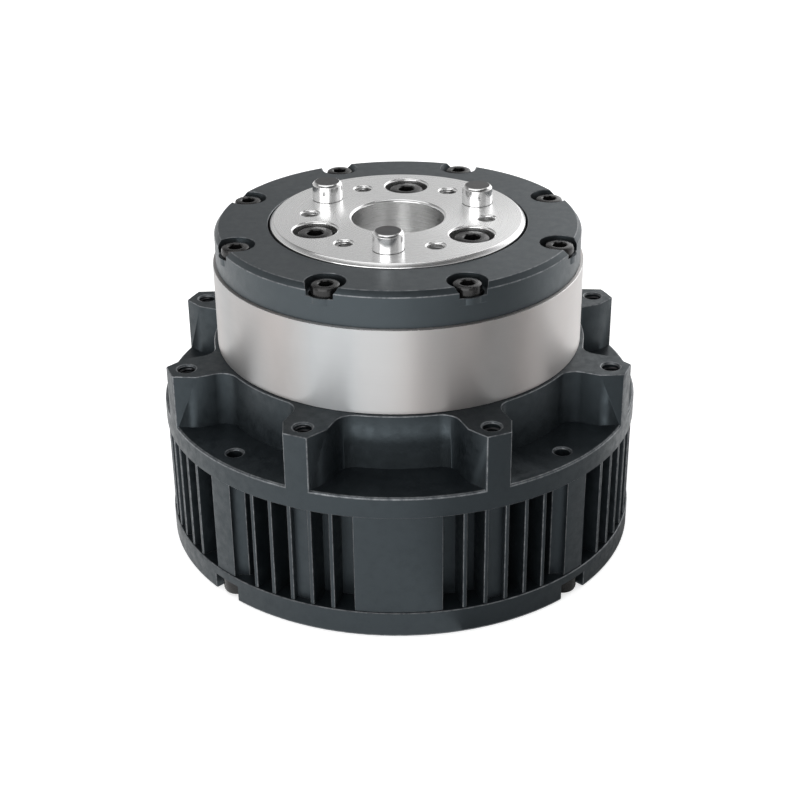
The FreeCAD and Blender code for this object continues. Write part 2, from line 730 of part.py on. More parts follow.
def cover_screws():
    seat = Z_COVER_TOP - cell("cover_notch_depth")
    front = cap_screw("front_screw", COVER_SCREW_CIRCLE, seat, cell("cover_screw_length"), "small")
    polar_group("front_cover_screws", front, count("cover_screw_count"), SECTOR_ANGLE * HALF)
    rear = cap_screw("rear_screw", REAR_SCREW_CIRCLE, cell("rear_notch_depth"),
                     cell("rear_screw_length"), "small", head_up=False)
    polar_group("rear_cover_screws", rear, count("rear_screw_count"), SECTOR_ANGLE)


# ---------------------------------------------------------------- gears
def involute(angle):
    return math.tan(angle) - angle


def tooth_half_angle(radius, teeth, slack):
    """Half the angle that an involute tooth fills at a radius; slack widens it at the pitch circle."""
    pressure = math.radians(cell("pressure_angle").value)
    pitch_radius = cell("gear_module").value * teeth * HALF
    base_radius = pitch_radius * math.cos(pressure)
    at_radius = math.acos(min(base_radius / radius, 1.0))
    at_pitch = math.pi * HALF / teeth + slack * HALF / pitch_radius
    return at_pitch + involute(pressure) - involute(at_radius)


def gear_outline(teeth, low_radius, high_radius, slack, pitch_point=True):
    """The corners of a spur gear's outline; each flank is two chords of the involute, or one."""
    pitch_radius = cell("gear_module").value * teeth * HALF
    levels = [low_radius, pitch_radius, high_radius] if pitch_point else [low_radius, high_radius]
    corners = []
    for tooth in range(int(round(teeth))):
        middle = 2 * math.pi * tooth / teeth
        rising = [(level, middle - tooth_half_angle(level, teeth, slack)) for level in levels]
        falling = [(level, middle + tooth_half_angle(level, teeth, slack)) for level in reversed(levels)]
        corners += rising + falling
    return corners


def prism(corners, bottom, top):
    points = [FreeCAD.Vector(radius * math.cos(angle), radius * math.sin(angle), bottom)
              for radius, angle in corners]
    face = Part.Face(Part.makePolygon(points + points[:1]))
    return face.extrude(FreeCAD.Vector(0, 0, top - bottom))


def spur_gear(teeth, bore_radius, bottom, top):
    module = cell("gear_module").value
    pitch_radius = module * teeth * HALF
    low = pitch_radius - module * cell("dedendum_share").value
    high = pitch_radius + module * cell("addendum_share").value
    blank = prism(gear_outline(teeth, low, high, -cell("tooth_backlash").value), bottom, top)
    bore = Part.makeCylinder(bore_radius, top - bottom, FreeCAD.Vector(0, 0, bottom))
    return blank.cut(bore)


def planetary_stage():
    turn = cell("output_turn")
    sun = spur_gear(cell("sun_teeth").value, cell("sun_spigot_radius").value,
                    Z_PLANET_BOTTOM.value, Z_PLANET_TOP.value)
    half_tooth = 180.0 / cell("sun_teeth").value
    shape_node("sun_gear", sun, turned_place(turn.value + half_tooth))
    planet = spur_gear(cell("planet_teeth").value, PLANET_BORE_RADIUS.value,
                       Z_PLANET_BOTTOM.value, Z_PLANET_TOP.value)
    bush_bore = cell("pin_radius") + cell("running_clearance")
    for index in range(count("planet_count")):
        angle = turn + 360.0 * index / cell("planet_count").value
        x = CENTRE_DISTANCE * cosine(angle)
        y = CENTRE_DISTANCE * sine(angle)
        shape_node(f"planet_gear_{index + 1}", planet, turned_place(angle.value, x.value, y.value))
        bush = ring_body(f"planet_bush_{index + 1}", bush_bore, PLANET_BORE_RADIUS,
                         Z_PLANET_BOTTOM, Z_PLANET_TOP)
        bind(bush, "Placement.Base.x", x)
        bind(bush, "Placement.Base.y", y)


# ---------------------------------------------------------------- output side
def output_flange():
    body = new_body("output_flange")
    pilot = cell("pilot_radius")
    bevel = cell("flange_bevel")
    pilot_floor = Z_FLANGE_TOP - cell("pilot_depth")
    revolve(body, "flange_turned", [
        (ZERO, Z_FLANGE_BASE),
        (HUB_SEAT_RADIUS, Z_FLANGE_BASE),
        (HUB_SEAT_RADIUS, Z_FLANGE_SEAT),
        (cell("flange_radius"), Z_FLANGE_SEAT),
        (cell("flange_radius"), Z_FLANGE_TOP - bevel),
        (cell("flange_radius") - bevel, Z_FLANGE_TOP),
        (pilot + cell("pilot_bevel"), Z_FLANGE_TOP),
        (pilot, Z_FLANGE_TOP - cell("pilot_bevel")),
        (pilot, pilot_floor),
        (ZERO, pilot_floor),
    ])
    turn = cell("output_turn")
    between = turn + as_size(180.0) / cell("planet_count")
    thickness = Z_FLANGE_TOP - Z_FLANGE_BASE
    planets = cell("planet_count")
    drill_circle(body, "pin_holes", CENTRE_DISTANCE, cell("pin_radius"), Z_FLANGE_TOP, thickness,
                 planets, turn)
    drill_circle(body, "carrier_screw_holes", CENTRE_DISTANCE, LARGE_HOLE_RADIUS, Z_FLANGE_TOP, thickness,
                 planets, between)
    drill_circle(body, "carrier_counterbores", CENTRE_DISTANCE,
                 cell("carrier_counterbore_radius"), Z_FLANGE_TOP,
                 cell("carrier_counterbore_depth"), planets, between)
    drill_circle(body, "output_holes", CENTRE_DISTANCE, cell("output_hole_radius"), Z_FLANGE_TOP,
                 cell("output_hole_depth"), planets * 2, turn + cell("output_hole_offset"))
    bevel_circle(body, "counterbore_mouths", CENTRE_DISTANCE, cell("carrier_counterbore_radius"),
                 Z_FLANGE_TOP, planets, between)
    bevel_circle(body, "output_mouths", CENTRE_DISTANCE, cell("output_hole_radius"), Z_FLANGE_TOP,
                 planets * 2, turn + cell("output_hole_offset"))
    return body


def carrier_plate():
    body = new_body("carrier_plate")
    bore = cell("carrier_bore_radius")
    edge = cell("carrier_plate_radius")
    revolve(body, "carrier_turned", [
        (bore, Z_CARRIER_BOTTOM),
        (edge, Z_CARRIER_BOTTOM),
        (edge, Z_CARRIER_TOP),
        (bore, Z_CARRIER_TOP),
    ])
    turn = cell("output_turn")
    planets = cell("planet_count")
    between = turn + as_size(180.0) / planets
    sketch = new_sketch(body, "post_sketch", "XY_Plane", Z_CARRIER_BOTTOM, between)
    add_circle(sketch, CENTRE_DISTANCE, ZERO, cell("carrier_post_radius"))
    post = pad(body, "post", sketch, Z_FLANGE_BASE - Z_CARRIER_BOTTOM)
    polar(body, "post_ring", [post], planets)
    drill_circle(body, "carrier_pin_holes", CENTRE_DISTANCE, cell("pin_radius"), Z_CARRIER_TOP,
                 cell("carrier_plate_height"), planets, turn)
    drill_circle(body, "carrier_threads", CENTRE_DISTANCE, cell("large_screw_radius"), Z_FLANGE_BASE,
                 Z_FLANGE_BASE - Z_CARRIER_SCREW_END + cell("thread_run_out"), planets, between)
    return body


def drive_pins():
    pin = new_body("drive_pin", node=False)
    radius = cell("pin_radius")
    bevel = cell("pin_bevel")
    neck = radius - cell("pin_relief_depth")
    relief_height = cell("pin_relief_height")
    revolve(pin, "pin_turned", [
        (ZERO, Z_CARRIER_BOTTOM),
        (radius, Z_CARRIER_BOTTOM),
        (radius, Z_FLANGE_TOP - relief_height),
        (neck, Z_FLANGE_TOP - relief_height),
        (neck, Z_FLANGE_TOP),
        (radius, Z_FLANGE_TOP),
        (radius, Z_PIN_TOP - bevel),
        (radius - bevel, Z_PIN_TOP),
        (ZERO, Z_PIN_TOP),
    ])
    bind(pin, "Placement.Base.x", CENTRE_DISTANCE)
    polar_group("drive_pins", pin, count("planet_count"), cell("output_turn"))
    between = cell("output_turn") + as_size(180.0) / cell("planet_count")
    length = cell("carrier_screw_length")
    screw = cap_screw("carrier_screw", CENTRE_DISTANCE, Z_COUNTERBORE, length, "large")
    polar_group("carrier_screws", screw, count("planet_count"), between)


def output_bearing():
    race = cell("race_wall")
    ring_body("output_bearing_inner_race", HUB_SEAT_RADIUS, HUB_SEAT_RADIUS + race,
              Z_RACE_BOTTOM, Z_FLANGE_SEAT)
    ring_body("output_bearing_outer_race", BEARING_SEAT_RADIUS - race, BEARING_SEAT_RADIUS,
              Z_RACE_BOTTOM, Z_RACE_TOP)
    roller = new_body("bearing_roller", node=False)
    radius = cell("roller_radius") - cell("running_clearance")
    bottom = Z_RACE_BOTTOM + cell("roller_end_gap")
    top = Z_FLANGE_SEAT - cell("roller_end_gap")
    revolve(roller, "roller_turned", [(ZERO, bottom), (radius, bottom), (radius, top), (ZERO, top)])
    bind(roller, "Placement.Base.x", ROLLER_CIRCLE)
    polar_group("output_bearing_rollers", roller, count("roller_count"))


# ---------------------------------------------------------------- motor
def stator():
    core = new_body("stator_core")
    bore = STATOR_BORE
    base = cell("stator_base")
    revolve(core, "core_turned", [
        (bore, base),
        (STATOR_RADIUS, base),
        (STATOR_RADIUS, Z_STATOR_TOP),
        (bore, Z_STATOR_TOP),
    ])
    slots = cell("stator_slot_count")
    half_pitch = as_size(180.0) / slots
    mouth = cell("slot_mouth_half_width")
    shoe = bore + cell("stator_shoe")
    yoke = STATOR_RADIUS - cell("stator_yoke")
    tooth = cell("tooth_half_width")
    near_half = shoe * tangent(half_pitch) - tooth / cosine(half_pitch)
    far_half = yoke * tangent(half_pitch) - tooth / cosine(half_pitch)
    sketch = new_sketch(core, "stator_slot_sketch", "XY_Plane", Z_STATOR_TOP, half_pitch)
    add_outline(sketch, [
        (bore - OVERSHOOT, -mouth),
        (shoe, -mouth),
        (shoe, -near_half),
        (yoke, -far_half),
        (yoke, far_half),
        (shoe, near_half),
        (shoe, mouth),
        (bore - OVERSHOOT, mouth),
    ])
    slot = pocket(core, "stator_slot", sketch, STATOR_HEIGHT)
    polar(core, "stator_slot_ring", [slot], slots)
    windings(shoe, yoke, half_pitch)


def windings(shoe, yoke, half_pitch):
    """Concentrated coils, one round each tooth."""
    gap = cell("coil_gap")
    inside = cell("tooth_half_width") + gap
    outside = inside + cell("coil_thickness")
    low = cell("stator_base") - gap
    high = Z_STATOR_TOP + gap
    overhang = cell("coil_overhang")
    near = (shoe + gap - inside * sine(half_pitch)) / cosine(half_pitch)
    length = (yoke - gap - outside * sine(half_pitch)) / cosine(half_pitch) - near
    block = coil_box("coil_block", near, length, outside, low - overhang, high + overhang)
    core = coil_box("coil_core", near - OVERSHOOT, length + OVERSHOOT * 2, inside, low, high)
    coil = DOC.addObject("Part::Cut", "coil")
    coil.Base = block
    coil.Tool = core
    polar_group("stator_windings", coil, count("stator_slot_count"))


def coil_box(name, near, length, half_width, low, high):
    box = DOC.addObject("Part::Box", name)
    bind(box, "Length", length)
    bind(box, "Width", half_width * 2)
    bind(box, "Height", high - low)
    bind(box, "Placement.Base.x", near)
    bind(box, "Placement.Base.y", -half_width)
    bind(box, "Placement.Base.z", low)
    return box


def rotor():
    body = new_body("rotor_hub")
    shaft = cell("shaft_radius")
    shoulder = shaft + cell("shaft_shoulder")
    base = cell("stator_base")
    web_top = base + cell("rotor_web_height")
    rim_inner = ROTOR_RIM_RADIUS - cell("rotor_rim_wall")
    tail = base - cell("shaft_tail")
    spigot = cell("sun_spigot_radius")
    revolve(body, "rotor_turned", [
        (ZERO, tail),
        (shaft, tail),
        (shaft, base),
        (ROTOR_RIM_RADIUS, base),
        (ROTOR_RIM_RADIUS, Z_STATOR_TOP),
        (rim_inner, Z_STATOR_TOP),
        (rim_inner, web_top),
        (shoulder, web_top),
        (shoulder, Z_TUBE_END),
        (shaft, Z_TUBE_END),
        (shaft, Z_PLANET_BOTTOM),
        (spigot, Z_PLANET_BOTTOM),
        (spigot, Z_PLANET_TOP),
        (ZERO, Z_PLANET_TOP),
    ])
    magnet = new_body("rotor_magnet", node=False)
    half_angle = cell("magnet_angle") * HALF
    sketch = new_sketch(magnet, "magnet_sketch", "XY_Plane", base)
    near_x = ROTOR_RIM_RADIUS * cosine(half_angle)
    near_y = ROTOR_RIM_RADIUS * sine(half_angle)
    far_x = MAGNET_RADIUS * cosine(half_angle)
    far_y = MAGNET_RADIUS * sine(half_angle)
    add_outline(sketch, [
        (near_x, -near_y),
        (far_x, -far_y, MAGNET_RADIUS, 1),
        (far_x, far_y),
        (near_x, near_y, ROTOR_RIM_RADIUS, -1),
    ])
    pad(magnet, "magnet", sketch, STATOR_HEIGHT)
    polar_group("rotor_magnets", magnet, count("magnet_count"))
    encoder_top = tail
    encoder_bottom = encoder_top - cell("encoder_magnet_height")
    puck = new_body("encoder_magnet")
    radius = cell("encoder_magnet_radius")
    revolve(puck, "encoder_magnet_turned", [
        (ZERO, encoder_bottom),
        (radius, encoder_bottom),
        (radius, encoder_top),
        (ZERO, encoder_top),
    ])


def rotor_bearings():
    """Two shielded ball bearings; a running gap parts each outer ring from its inner ring."""
    split = cell("rotor_bearing_split")
    seats = (("front", Z_FRONT_SEAT), ("rear", Z_TUBE_END))
    for name, bottom in seats:
        top = bottom + cell("rotor_bearing_height")
        ring_body(f"{name}_rotor_bearing_outer", split + cell("running_clearance"),
                  cell("rotor_bearing_radius"), bottom, top)
        ring_body(f"{name}_rotor_bearing_inner", cell("shaft_radius"), split, bottom, top)


# ---------------------------------------------------------------- electronics



def driver_board():
    board = new_body("driver_board")
    revolve(board, "board_disc", [
        (ZERO, Z_BOARD_BOTTOM),
        (BOARD_RADIUS, Z_BOARD_BOTTOM),
        (BOARD_RADIUS, Z_BOARD_TOP),
        (ZERO, Z_BOARD_TOP),
    ])
    drill_circle(board, "board_screw_holes", BOARD_SCREW_CIRCLE, cell("board_screw_radius"), Z_BOARD_TOP,
                 cell("board_thickness"), cell("board_screw_count"), SECTOR_ANGLE)
    screw = new_body("board_screw", node=False)
    shank = cell("board_screw_radius")
    head = cell("board_screw_head_radius")
    crown = Z_BOARD_TOP + cell("board_screw_head_height")
    tip = Z_BOARD_BOTTOM - cell("board_lift")
    revolve(screw, "board_screw_turned", [
        (ZERO, tip),
        (shank, tip),
        (shank, Z_BOARD_TOP),
        (head, Z_BOARD_TOP),
        (head, crown),
        (ZERO, crown),
    ])
    bind(screw, "Placement.Base.x", BOARD_SCREW_CIRCLE)
    polar_group("board_screws", screw, count("board_screw_count"), SECTOR_ANGLE)


def sockets():
    """The power and signal sockets hang under the board and look out through windows in the rear cover."""
    for name, side, contacts in (("power", 1, 2), ("signal", -1, 4)):
        body = new_body(f"{name}_connector")
        half_length = cell(f"{name}_socket_length") * HALF
        half_width = cell(f"{name}_socket_width") * HALF
        middle = SOCKET_OFFSET * side
        bottom = cell("socket_inset")
        sketch = new_sketch(body, f"{name}_block_sketch", "XY_Plane", bottom)
        add_outline(sketch, [
            (-half_length, middle - half_width),
            (half_length, middle - half_width),
            (half_length, middle + half_width),
            (-half_length, middle + half_width),
        ])
        pad(body, f"{name}_block", sketch, Z_BOARD_BOTTOM - bottom)
        spacing = cell(f"{name}_socket_length") / (contacts + 1)
        depth = (Z_BOARD_BOTTOM - bottom) * cell("contact_depth_share")
        hole = spacing * cell("contact_radius_share")
        holes = new_sketch(body, f"{name}_contact_sketch", "XY_Plane", bottom)
        for index in range(contacts):
            add_circle(holes, spacing * (index + 1) - half_length, middle, hole)
        contact = pocket(body, f"{name}_contacts", holes, depth)
        contact.Reversed = True
        body.Tip = contact


# ---------------------------------------------------------------- checks and export
def check_document():
    DOC.recompute()
    for item in DOC.Objects:
        if "Invalid" in item.State or "Error" in item.State:
            raise RuntimeError(f"{item.Label} failed: {item.State}")
    for node in NODES:
        if node.Shape.isNull() or not node.Shape.isValid():
            raise RuntimeError(f"{node.Label} has no valid shape")
        if not node.Shape.Solids:
            raise RuntimeError(f"{node.Label} holds no solid")


def export_nodes():
    os.makedirs("parts", exist_ok=True)
    for node in NODES:
        node.Shape.exportStep(os.path.join("parts", f"{node.Label}.step"))
        print(f"{node.Label}: {len(node.Shape.Solids)} solids, {node.Shape.Volume:.1f} mm3")


main_housing()
rear_cover()
ring_gear()
front_cover()
cover_screws()
planetary_stage()
output_flange()
carrier_plate()
drive_pins()
output_bearing()
stator()
rotor()
rotor_bearings()
driver_board()
sockets()
check_document()
export_nodes()
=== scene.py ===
# Looks of the geared joint actuator. The outer pieces get broken edges and a finish of their own, and
# the inner ones keep their shape. Geometry nodes set out the screws and the threads in the tapped holes.
import bmesh
import bpy
import json
import math
from mathutils import Matrix, Vector


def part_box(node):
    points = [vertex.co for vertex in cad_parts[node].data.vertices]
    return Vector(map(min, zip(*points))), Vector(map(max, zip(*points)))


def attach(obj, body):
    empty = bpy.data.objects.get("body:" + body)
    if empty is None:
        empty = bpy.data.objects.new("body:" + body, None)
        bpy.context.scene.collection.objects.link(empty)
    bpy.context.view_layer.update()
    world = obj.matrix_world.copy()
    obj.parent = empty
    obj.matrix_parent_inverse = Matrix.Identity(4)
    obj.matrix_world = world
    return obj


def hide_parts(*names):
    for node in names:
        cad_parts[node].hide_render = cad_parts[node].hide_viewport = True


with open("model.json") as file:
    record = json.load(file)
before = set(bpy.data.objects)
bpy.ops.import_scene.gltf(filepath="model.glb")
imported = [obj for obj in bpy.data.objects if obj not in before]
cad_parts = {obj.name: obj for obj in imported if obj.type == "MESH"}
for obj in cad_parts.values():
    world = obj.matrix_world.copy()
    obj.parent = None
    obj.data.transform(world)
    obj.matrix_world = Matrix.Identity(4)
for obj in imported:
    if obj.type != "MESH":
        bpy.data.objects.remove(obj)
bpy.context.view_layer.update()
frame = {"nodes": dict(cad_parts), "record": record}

MM = 0.001
HALF_TURN = math.pi
FULL_TURN = 2.0 * math.pi
COPY_SEED = 7
MERGE_DISTANCE = 0.002 * MM
FLAT_ANGLE = math.radians(0.4)
SHARP_ANGLE = math.radians(30.0)

# widths of the broken edges
CASTING_BREAK = 0.16 * MM
COVER_BREAK = CASTING_BREAK * 0.8
FLANGE_BREAK = 0.12 * MM
FINE_BREAK = 0.08 * MM

# cap screws: head radius, head height, shank radius and key width
M3_SCREW = (2.75 * MM, 3.0 * MM, 1.5 * MM, 2.5 * MM)
M4_SCREW = (3.5 * MM, 4.0 * MM, 2.0 * MM, 3.0 * MM)
SCREW_STEPS = 72
KNURL_DEPTH = 0.07 * MM
HEAD_CORNER = 0.35 * MM
KEY_CHAMFER = 0.08 * MM
KEY_CHAMFER_DEPTH = 0.18 * MM
SHANK_POINT = 0.5 * MM

# M4 threads in the tapped holes
THREAD_PITCH = 0.7 * MM
THREAD_DEPTH = 0.22 * MM
THREAD_TURNS = 8.0
THREAD_START = 0.75 * MM
THREAD_ROOT_SINK = 0.03 * MM
THREAD_STEPS = 28
FADES_PER_TURN = 2.0

# the step in each screw notch of the front cover
NOTCH_DEPTH = 3.45 * MM
LEDGE_RISE = 1.3 * MM
LEDGE_SINK = 0.1 * MM
LEDGE_HALF_WIDTH = 3.9 * MM
LEDGE_HOLE_RADIUS = 3.15 * MM
LEDGE_INSET = 0.004 * MM
LEDGE_CHAMFER = 0.13 * MM
LEAST_LIP = 0.02 * MM
LEDGE_STEPS = 96

# the dull ends of the dowel pins
FACING_UP = 0.99
PIN_END_BAND = 0.2 * MM
PIN_END_SLOT = 2

# how far the first hole of each ring is turned: from the first drive pin, and from the X axis
OUTPUT_HOLE_TURN = math.radians(30.0)
BOSS_TURN = math.radians(22.5)

# studio
WHITE = (1.0, 1.0, 1.0, 1.0)
LIGHT_AIM = (0.0, 0.0, 0.04)
ROOM_LIGHT = 0.5
BRIGHT_SIDE = (0.85, 0.40, 0.0)
FLOOR_REACH = 3.0
FLOOR_LEVEL = -0.05 * MM
FLOOR_GLOW = 0.6
FLOOR_TONE = 0.8

# camera: where it stands in millimetres, and its own three directions
SENSOR_WIDTH = 36.0
LENS = 69.845
CAMERA_PLACE = Vector((3.552, -286.827, 174.297))
RIGHT = Vector((0.99992787, 0.00719318, -0.00961865))
UP = Vector((0.00522081, 0.46091422, 0.88742934))
BACK = Vector((0.01081682, -0.88741554, 0.46084342))


# ---------------------------------------------------------------- node helpers
def new_finish(name):
    """A material with one Principled shader, and its tree and shader."""
    material = bpy.data.materials.new(name)
    material.use_nodes = True
    tree = material.node_tree
    return material, tree, tree.nodes["Principled BSDF"]


def add_node(tree, kind, inputs=None, **settings):
    """A node with its settings and the values of its inputs."""
    item = tree.nodes.new(kind)
    for key, value in settings.items():
        setattr(item, key, value)
    for key, value in (inputs or {}).items():
        item.inputs[key].default_value = value
    return item


def object_pattern(tree, scale=(1.0, 1.0, 1.0)):
    """Object coordinates in millimetres, stretched by scale."""
    place = add_node(tree, "ShaderNodeTexCoord")
    stretch = add_node(tree, "ShaderNodeMapping", {"Scale": [value / MM for value in scale]})
    tree.links.new(place.outputs["Object"], stretch.inputs["Vector"])
    return stretch.outputs["Vector"]


def noise(tree, where, scale, detail=2.0, roughness=0.5):
    """Grey noise over a pattern vector."""
    item = add_node(tree, "ShaderNodeTexNoise", {"Scale": scale, "Detail": detail, "Roughness": roughness})
    tree.links.new(where, item.inputs["Vector"])
    return item.outputs["Fac"]


def ramp(tree, factor, stops):
    """A colour ramp; each stop is (position, grey or colour)."""
    item = add_node(tree, "ShaderNodeValToRGB")
    marks = item.color_ramp.elements
    while len(marks) < len(stops):
        marks.new(0.5)
    for mark, (position, colour) in zip(marks, stops):
        mark.position = position
        tone = (colour, colour, colour) if isinstance(colour, float) else colour
        mark.color = (*tone, 1.0)
    tree.links.new(factor, item.inputs["Fac"])
    return item.outputs["Color"]


def blend_colours(tree, factor, first, second, mode="MIX"):
    """Two colours mixed; each input is a plain value or another node's output."""
    item = add_node(tree, "ShaderNodeMix", data_type="RGBA", blend_type=mode)
    for socket, value in (("Factor", factor), ("A", first), ("B", second)):
        target = [s for s in item.inputs if s.name == socket and s.enabled][0]
        if isinstance(value, bpy.types.NodeSocket):
            tree.links.new(value, target)
        else:
            target.default_value = value
    return [s for s in item.outputs if s.enabled][0]


def math_node(tree, operation, *values):
    """The result of one operation; each value is a number or another node's output."""
    item = add_node(tree, "ShaderNodeMath", operation=operation)
    for index, value in enumerate(values):
        if isinstance(value, bpy.types.NodeSocket):
            tree.links.new(value, item.inputs[index])
        else:
            item.inputs[index].default_value = value
    return item.outputs[0]


def bump(tree, shader, height, strength, depth):
    """Fine relief on a shader's surface from a height pattern."""
    item = add_node(tree, "ShaderNodeBump", {"Strength": strength, "Distance": depth})
    tree.links.new(height, item.inputs["Height"])
    tree.links.new(item.outputs["Normal"], shader.inputs["Normal"])


def radius_and_height(tree, where):
    """Distance from the Z axis of a pattern vector, and its height."""
    split = add_node(tree, "ShaderNodeSeparateXYZ")
    tree.links.new(where, split.inputs[0])
    x_squared = math_node(tree, "MULTIPLY", split.outputs[0], split.outputs[0])
    y_squared = math_node(tree, "MULTIPLY", split.outputs[1], split.outputs[1])
    return math_node(tree, "SQRT", math_node(tree, "ADD", x_squared, y_squared)), split.outputs[2]


def turned_sheen(tree, shader, where, amount):
    """Stretches highlights across the turning lines of a part turned about the Z axis."""
    around = add_node(tree, "ShaderNodeVectorMath", operation="CROSS_PRODUCT")
    around.inputs[0].default_value = (0.0, 0.0, 1.0)
    tree.links.new(where, around.inputs[1])
    moved = add_node(tree, "ShaderNodeVectorTransform", vector_type="VECTOR",
                     convert_from="OBJECT", convert_to="WORLD")
    tree.links.new(around.outputs[0], moved.inputs[0])
    tree.links.new(moved.outputs[0], shader.inputs["Tangent"])
    shader.inputs["Anisotropic"].default_value = amount
    shader.inputs["Anisotropic Rotation"].default_value = 0.25


# ---------------------------------------------------------------- finishes
def blasted_anodise(name, dark, light, roughness=(0.36, 0.54), sheen=0.65, mottle_height=1.6):
    """Bead-blasted and anodised aluminium: a fine pebbled grain under a thin dull sheen."""
    material, tree, shader = new_finish(name)
    where = object_pattern(tree)
    grain = noise(tree, where, scale=5.0, detail=3.0, roughness=0.6)
    cloud = noise(tree, where, scale=0.12, detail=3.0)
    mottle = noise(tree, where, scale=0.55, detail=4.0, roughness=0.62)
    tone = ramp(tree, cloud, [(0.3, dark), (0.7, light)])
    speckle = ramp(tree, grain, [(0.35, 0.82), (0.62, 1.0)])
    tree.links.new(blend_colours(tree, 1.0, tone, speckle, "MULTIPLY"), shader.inputs["Base Color"])
    rough = ramp(tree, mottle, [(0.34, roughness[0]), (0.66, roughness[1])])
    tree.links.new(rough, shader.inputs["Roughness"])
    shader.inputs["Specular IOR Level"].default_value = sheen
    shader.inputs["Specular Tint"].default_value = (0.76, 0.91, 1.0, 1.0)
    skin = math_node(tree, "ADD", grain, math_node(tree, "MULTIPLY", mottle, mottle_height))
    bump(tree, shader, skin, strength=0.34, depth=0.05 * MM)
    return material


def edge_painted_highlight(name, dark, light):
    """The strip on a broken black edge, a lighter grey than the black faces round it: a painted edge
    highlight.
    """
    material, tree, shader = new_finish(name)
    highlight_mottle = noise(tree, object_pattern(tree), scale=0.9, detail=4.0, roughness=0.65)
    # the strip's lighter grey is painted highlight along the edge, mottled at random
    tree.links.new(ramp(tree, highlight_mottle, [(0.35, dark), (0.65, light)]), shader.inputs["Base Color"])
    shader.inputs["Metallic"].default_value = 0.55
    shader.inputs["Roughness"].default_value = 0.38
    return material


def satin_turned_steel():
    """A turned ring: fine lines round its wall and faint warm and cool clouds."""
    material, tree, shader = new_finish("satin_turned_steel")
    where = object_pattern(tree)
    lines = noise(tree, object_pattern(tree, (0.02, 0.02, 9.0)), scale=1.0, detail=3.0, roughness=0.7)
    drift = noise(tree, object_pattern(tree, (0.055, 0.055, 0.01)), scale=1.0, detail=1.0)
    stain = noise(tree, object_pattern(tree, (0.09, 0.09, 0.05)), scale=1.0, detail=3.0, roughness=0.6)
    cool, plain, warm = (0.44, 0.452, 0.46), (0.475, 0.467, 0.463), (0.505, 0.478, 0.467)
    tone = ramp(tree, drift, [(0.35, cool), (0.5, plain), (0.65, warm)])
    mark = ramp(tree, stain, [(0.3, 0.95), (0.5, 1.0)])
    tree.links.new(blend_colours(tree, 1.0, tone, mark, "MULTIPLY"), shader.inputs["Base Color"])
    tree.links.new(ramp(tree, lines, [(0.25, 0.42), (0.75, 0.50)]), shader.inputs["Roughness"])
    shader.inputs["Metallic"].default_value = 1.0
    turned_sheen(tree, shader, where, 0.8)
    bump(tree, shader, lines, strength=0.08, depth=0.02 * MM)
    return material


def faced_aluminium(name, roughness=(0.24, 0.32)):
    """Bright aluminium with the close rings that a facing cut leaves."""
    material, tree, shader = new_finish(name)
    where = object_pattern(tree)
    radius, height = radius_and_height(tree, where)
    rings_per_mm = 6.0
    across = add_node(tree, "ShaderNodeCombineXYZ")
    tree.links.new(math_node(tree, "MULTIPLY", radius, rings_per_mm), across.inputs[0])
    tree.links.new(math_node(tree, "MULTIPLY", height, rings_per_mm), across.inputs[2])
    cut = noise(tree, across.outputs[0], scale=1.0, detail=3.0, roughness=0.7)
    cloud = noise(tree, where, scale=0.08)
    tone = ramp(tree, cloud, [(0.3, (0.86, 0.86, 0.858)), (0.7, (0.885, 0.885, 0.883))])
    tree.links.new(tone, shader.inputs["Base Color"])
    tree.links.new(ramp(tree, cut, [(0.25, roughness[0]), (0.75, roughness[1])]), shader.inputs["Roughness"])
    shader.inputs["Metallic"].default_value = 1.0
    turned_sheen(tree, shader, where, 0.5)
    bump(tree, shader, cut, strength=0.035, depth=0.02 * MM)
    return material


def plain_metal(name, dark, light, roughness, line_scale=(0.3, 0.3, 3.0), grain=0.08):
    """A worked metal: two close tones and fine tool lines."""
    material, tree, shader = new_finish(name)
    lines = noise(tree, object_pattern(tree, line_scale), scale=1.0, detail=3.0, roughness=0.6)
    tree.links.new(ramp(tree, lines, [(0.3, dark), (0.7, light)]), shader.inputs["Base Color"])
    tree.links.new(ramp(tree, lines, [(0.3, roughness[0]), (0.7, roughness[1])]), shader.inputs["Roughness"])
    shader.inputs["Metallic"].default_value = 1.0
    bump(tree, shader, lines, strength=grain, depth=0.02 * MM)
    return material


def black_oxide():
    """Oiled black oxide on a screw: nearly black, with a soft glint."""
    material, tree, shader = new_finish("oiled_black_oxide")
    where = object_pattern(tree)
    cloud = noise(tree, where, scale=1.5, detail=3.0)
    tone = ramp(tree, cloud, [(0.3, (0.003, 0.003, 0.0035)), (0.7, (0.008, 0.0075, 0.007))])
    tree.links.new(tone, shader.inputs["Base Color"])
    rough = ramp(tree, noise(tree, where, scale=4.0), [(0.3, 0.2), (0.7, 0.32)])
    tree.links.new(rough, shader.inputs["Roughness"])
    shader.inputs["Specular IOR Level"].default_value = 0.4
    shader.inputs["Coat Weight"].default_value = 0.1
    shader.inputs["Coat Roughness"].default_value = 0.12
    return material


def moulded_plastic(name, dark, light):
    """A socket's nylon: two close tones and a fine moulded grain."""
    material, tree, shader = new_finish(name)
    where = object_pattern(tree)
    tone = ramp(tree, noise(tree, where, scale=0.4), [(0.3, dark), (0.7, light)])
    tree.links.new(tone, shader.inputs["Base Color"])
    shader.inputs["Roughness"].default_value = 0.42
    bump(tree, shader, noise(tree, where, scale=6.0), strength=0.1, depth=0.03 * MM)
    return material


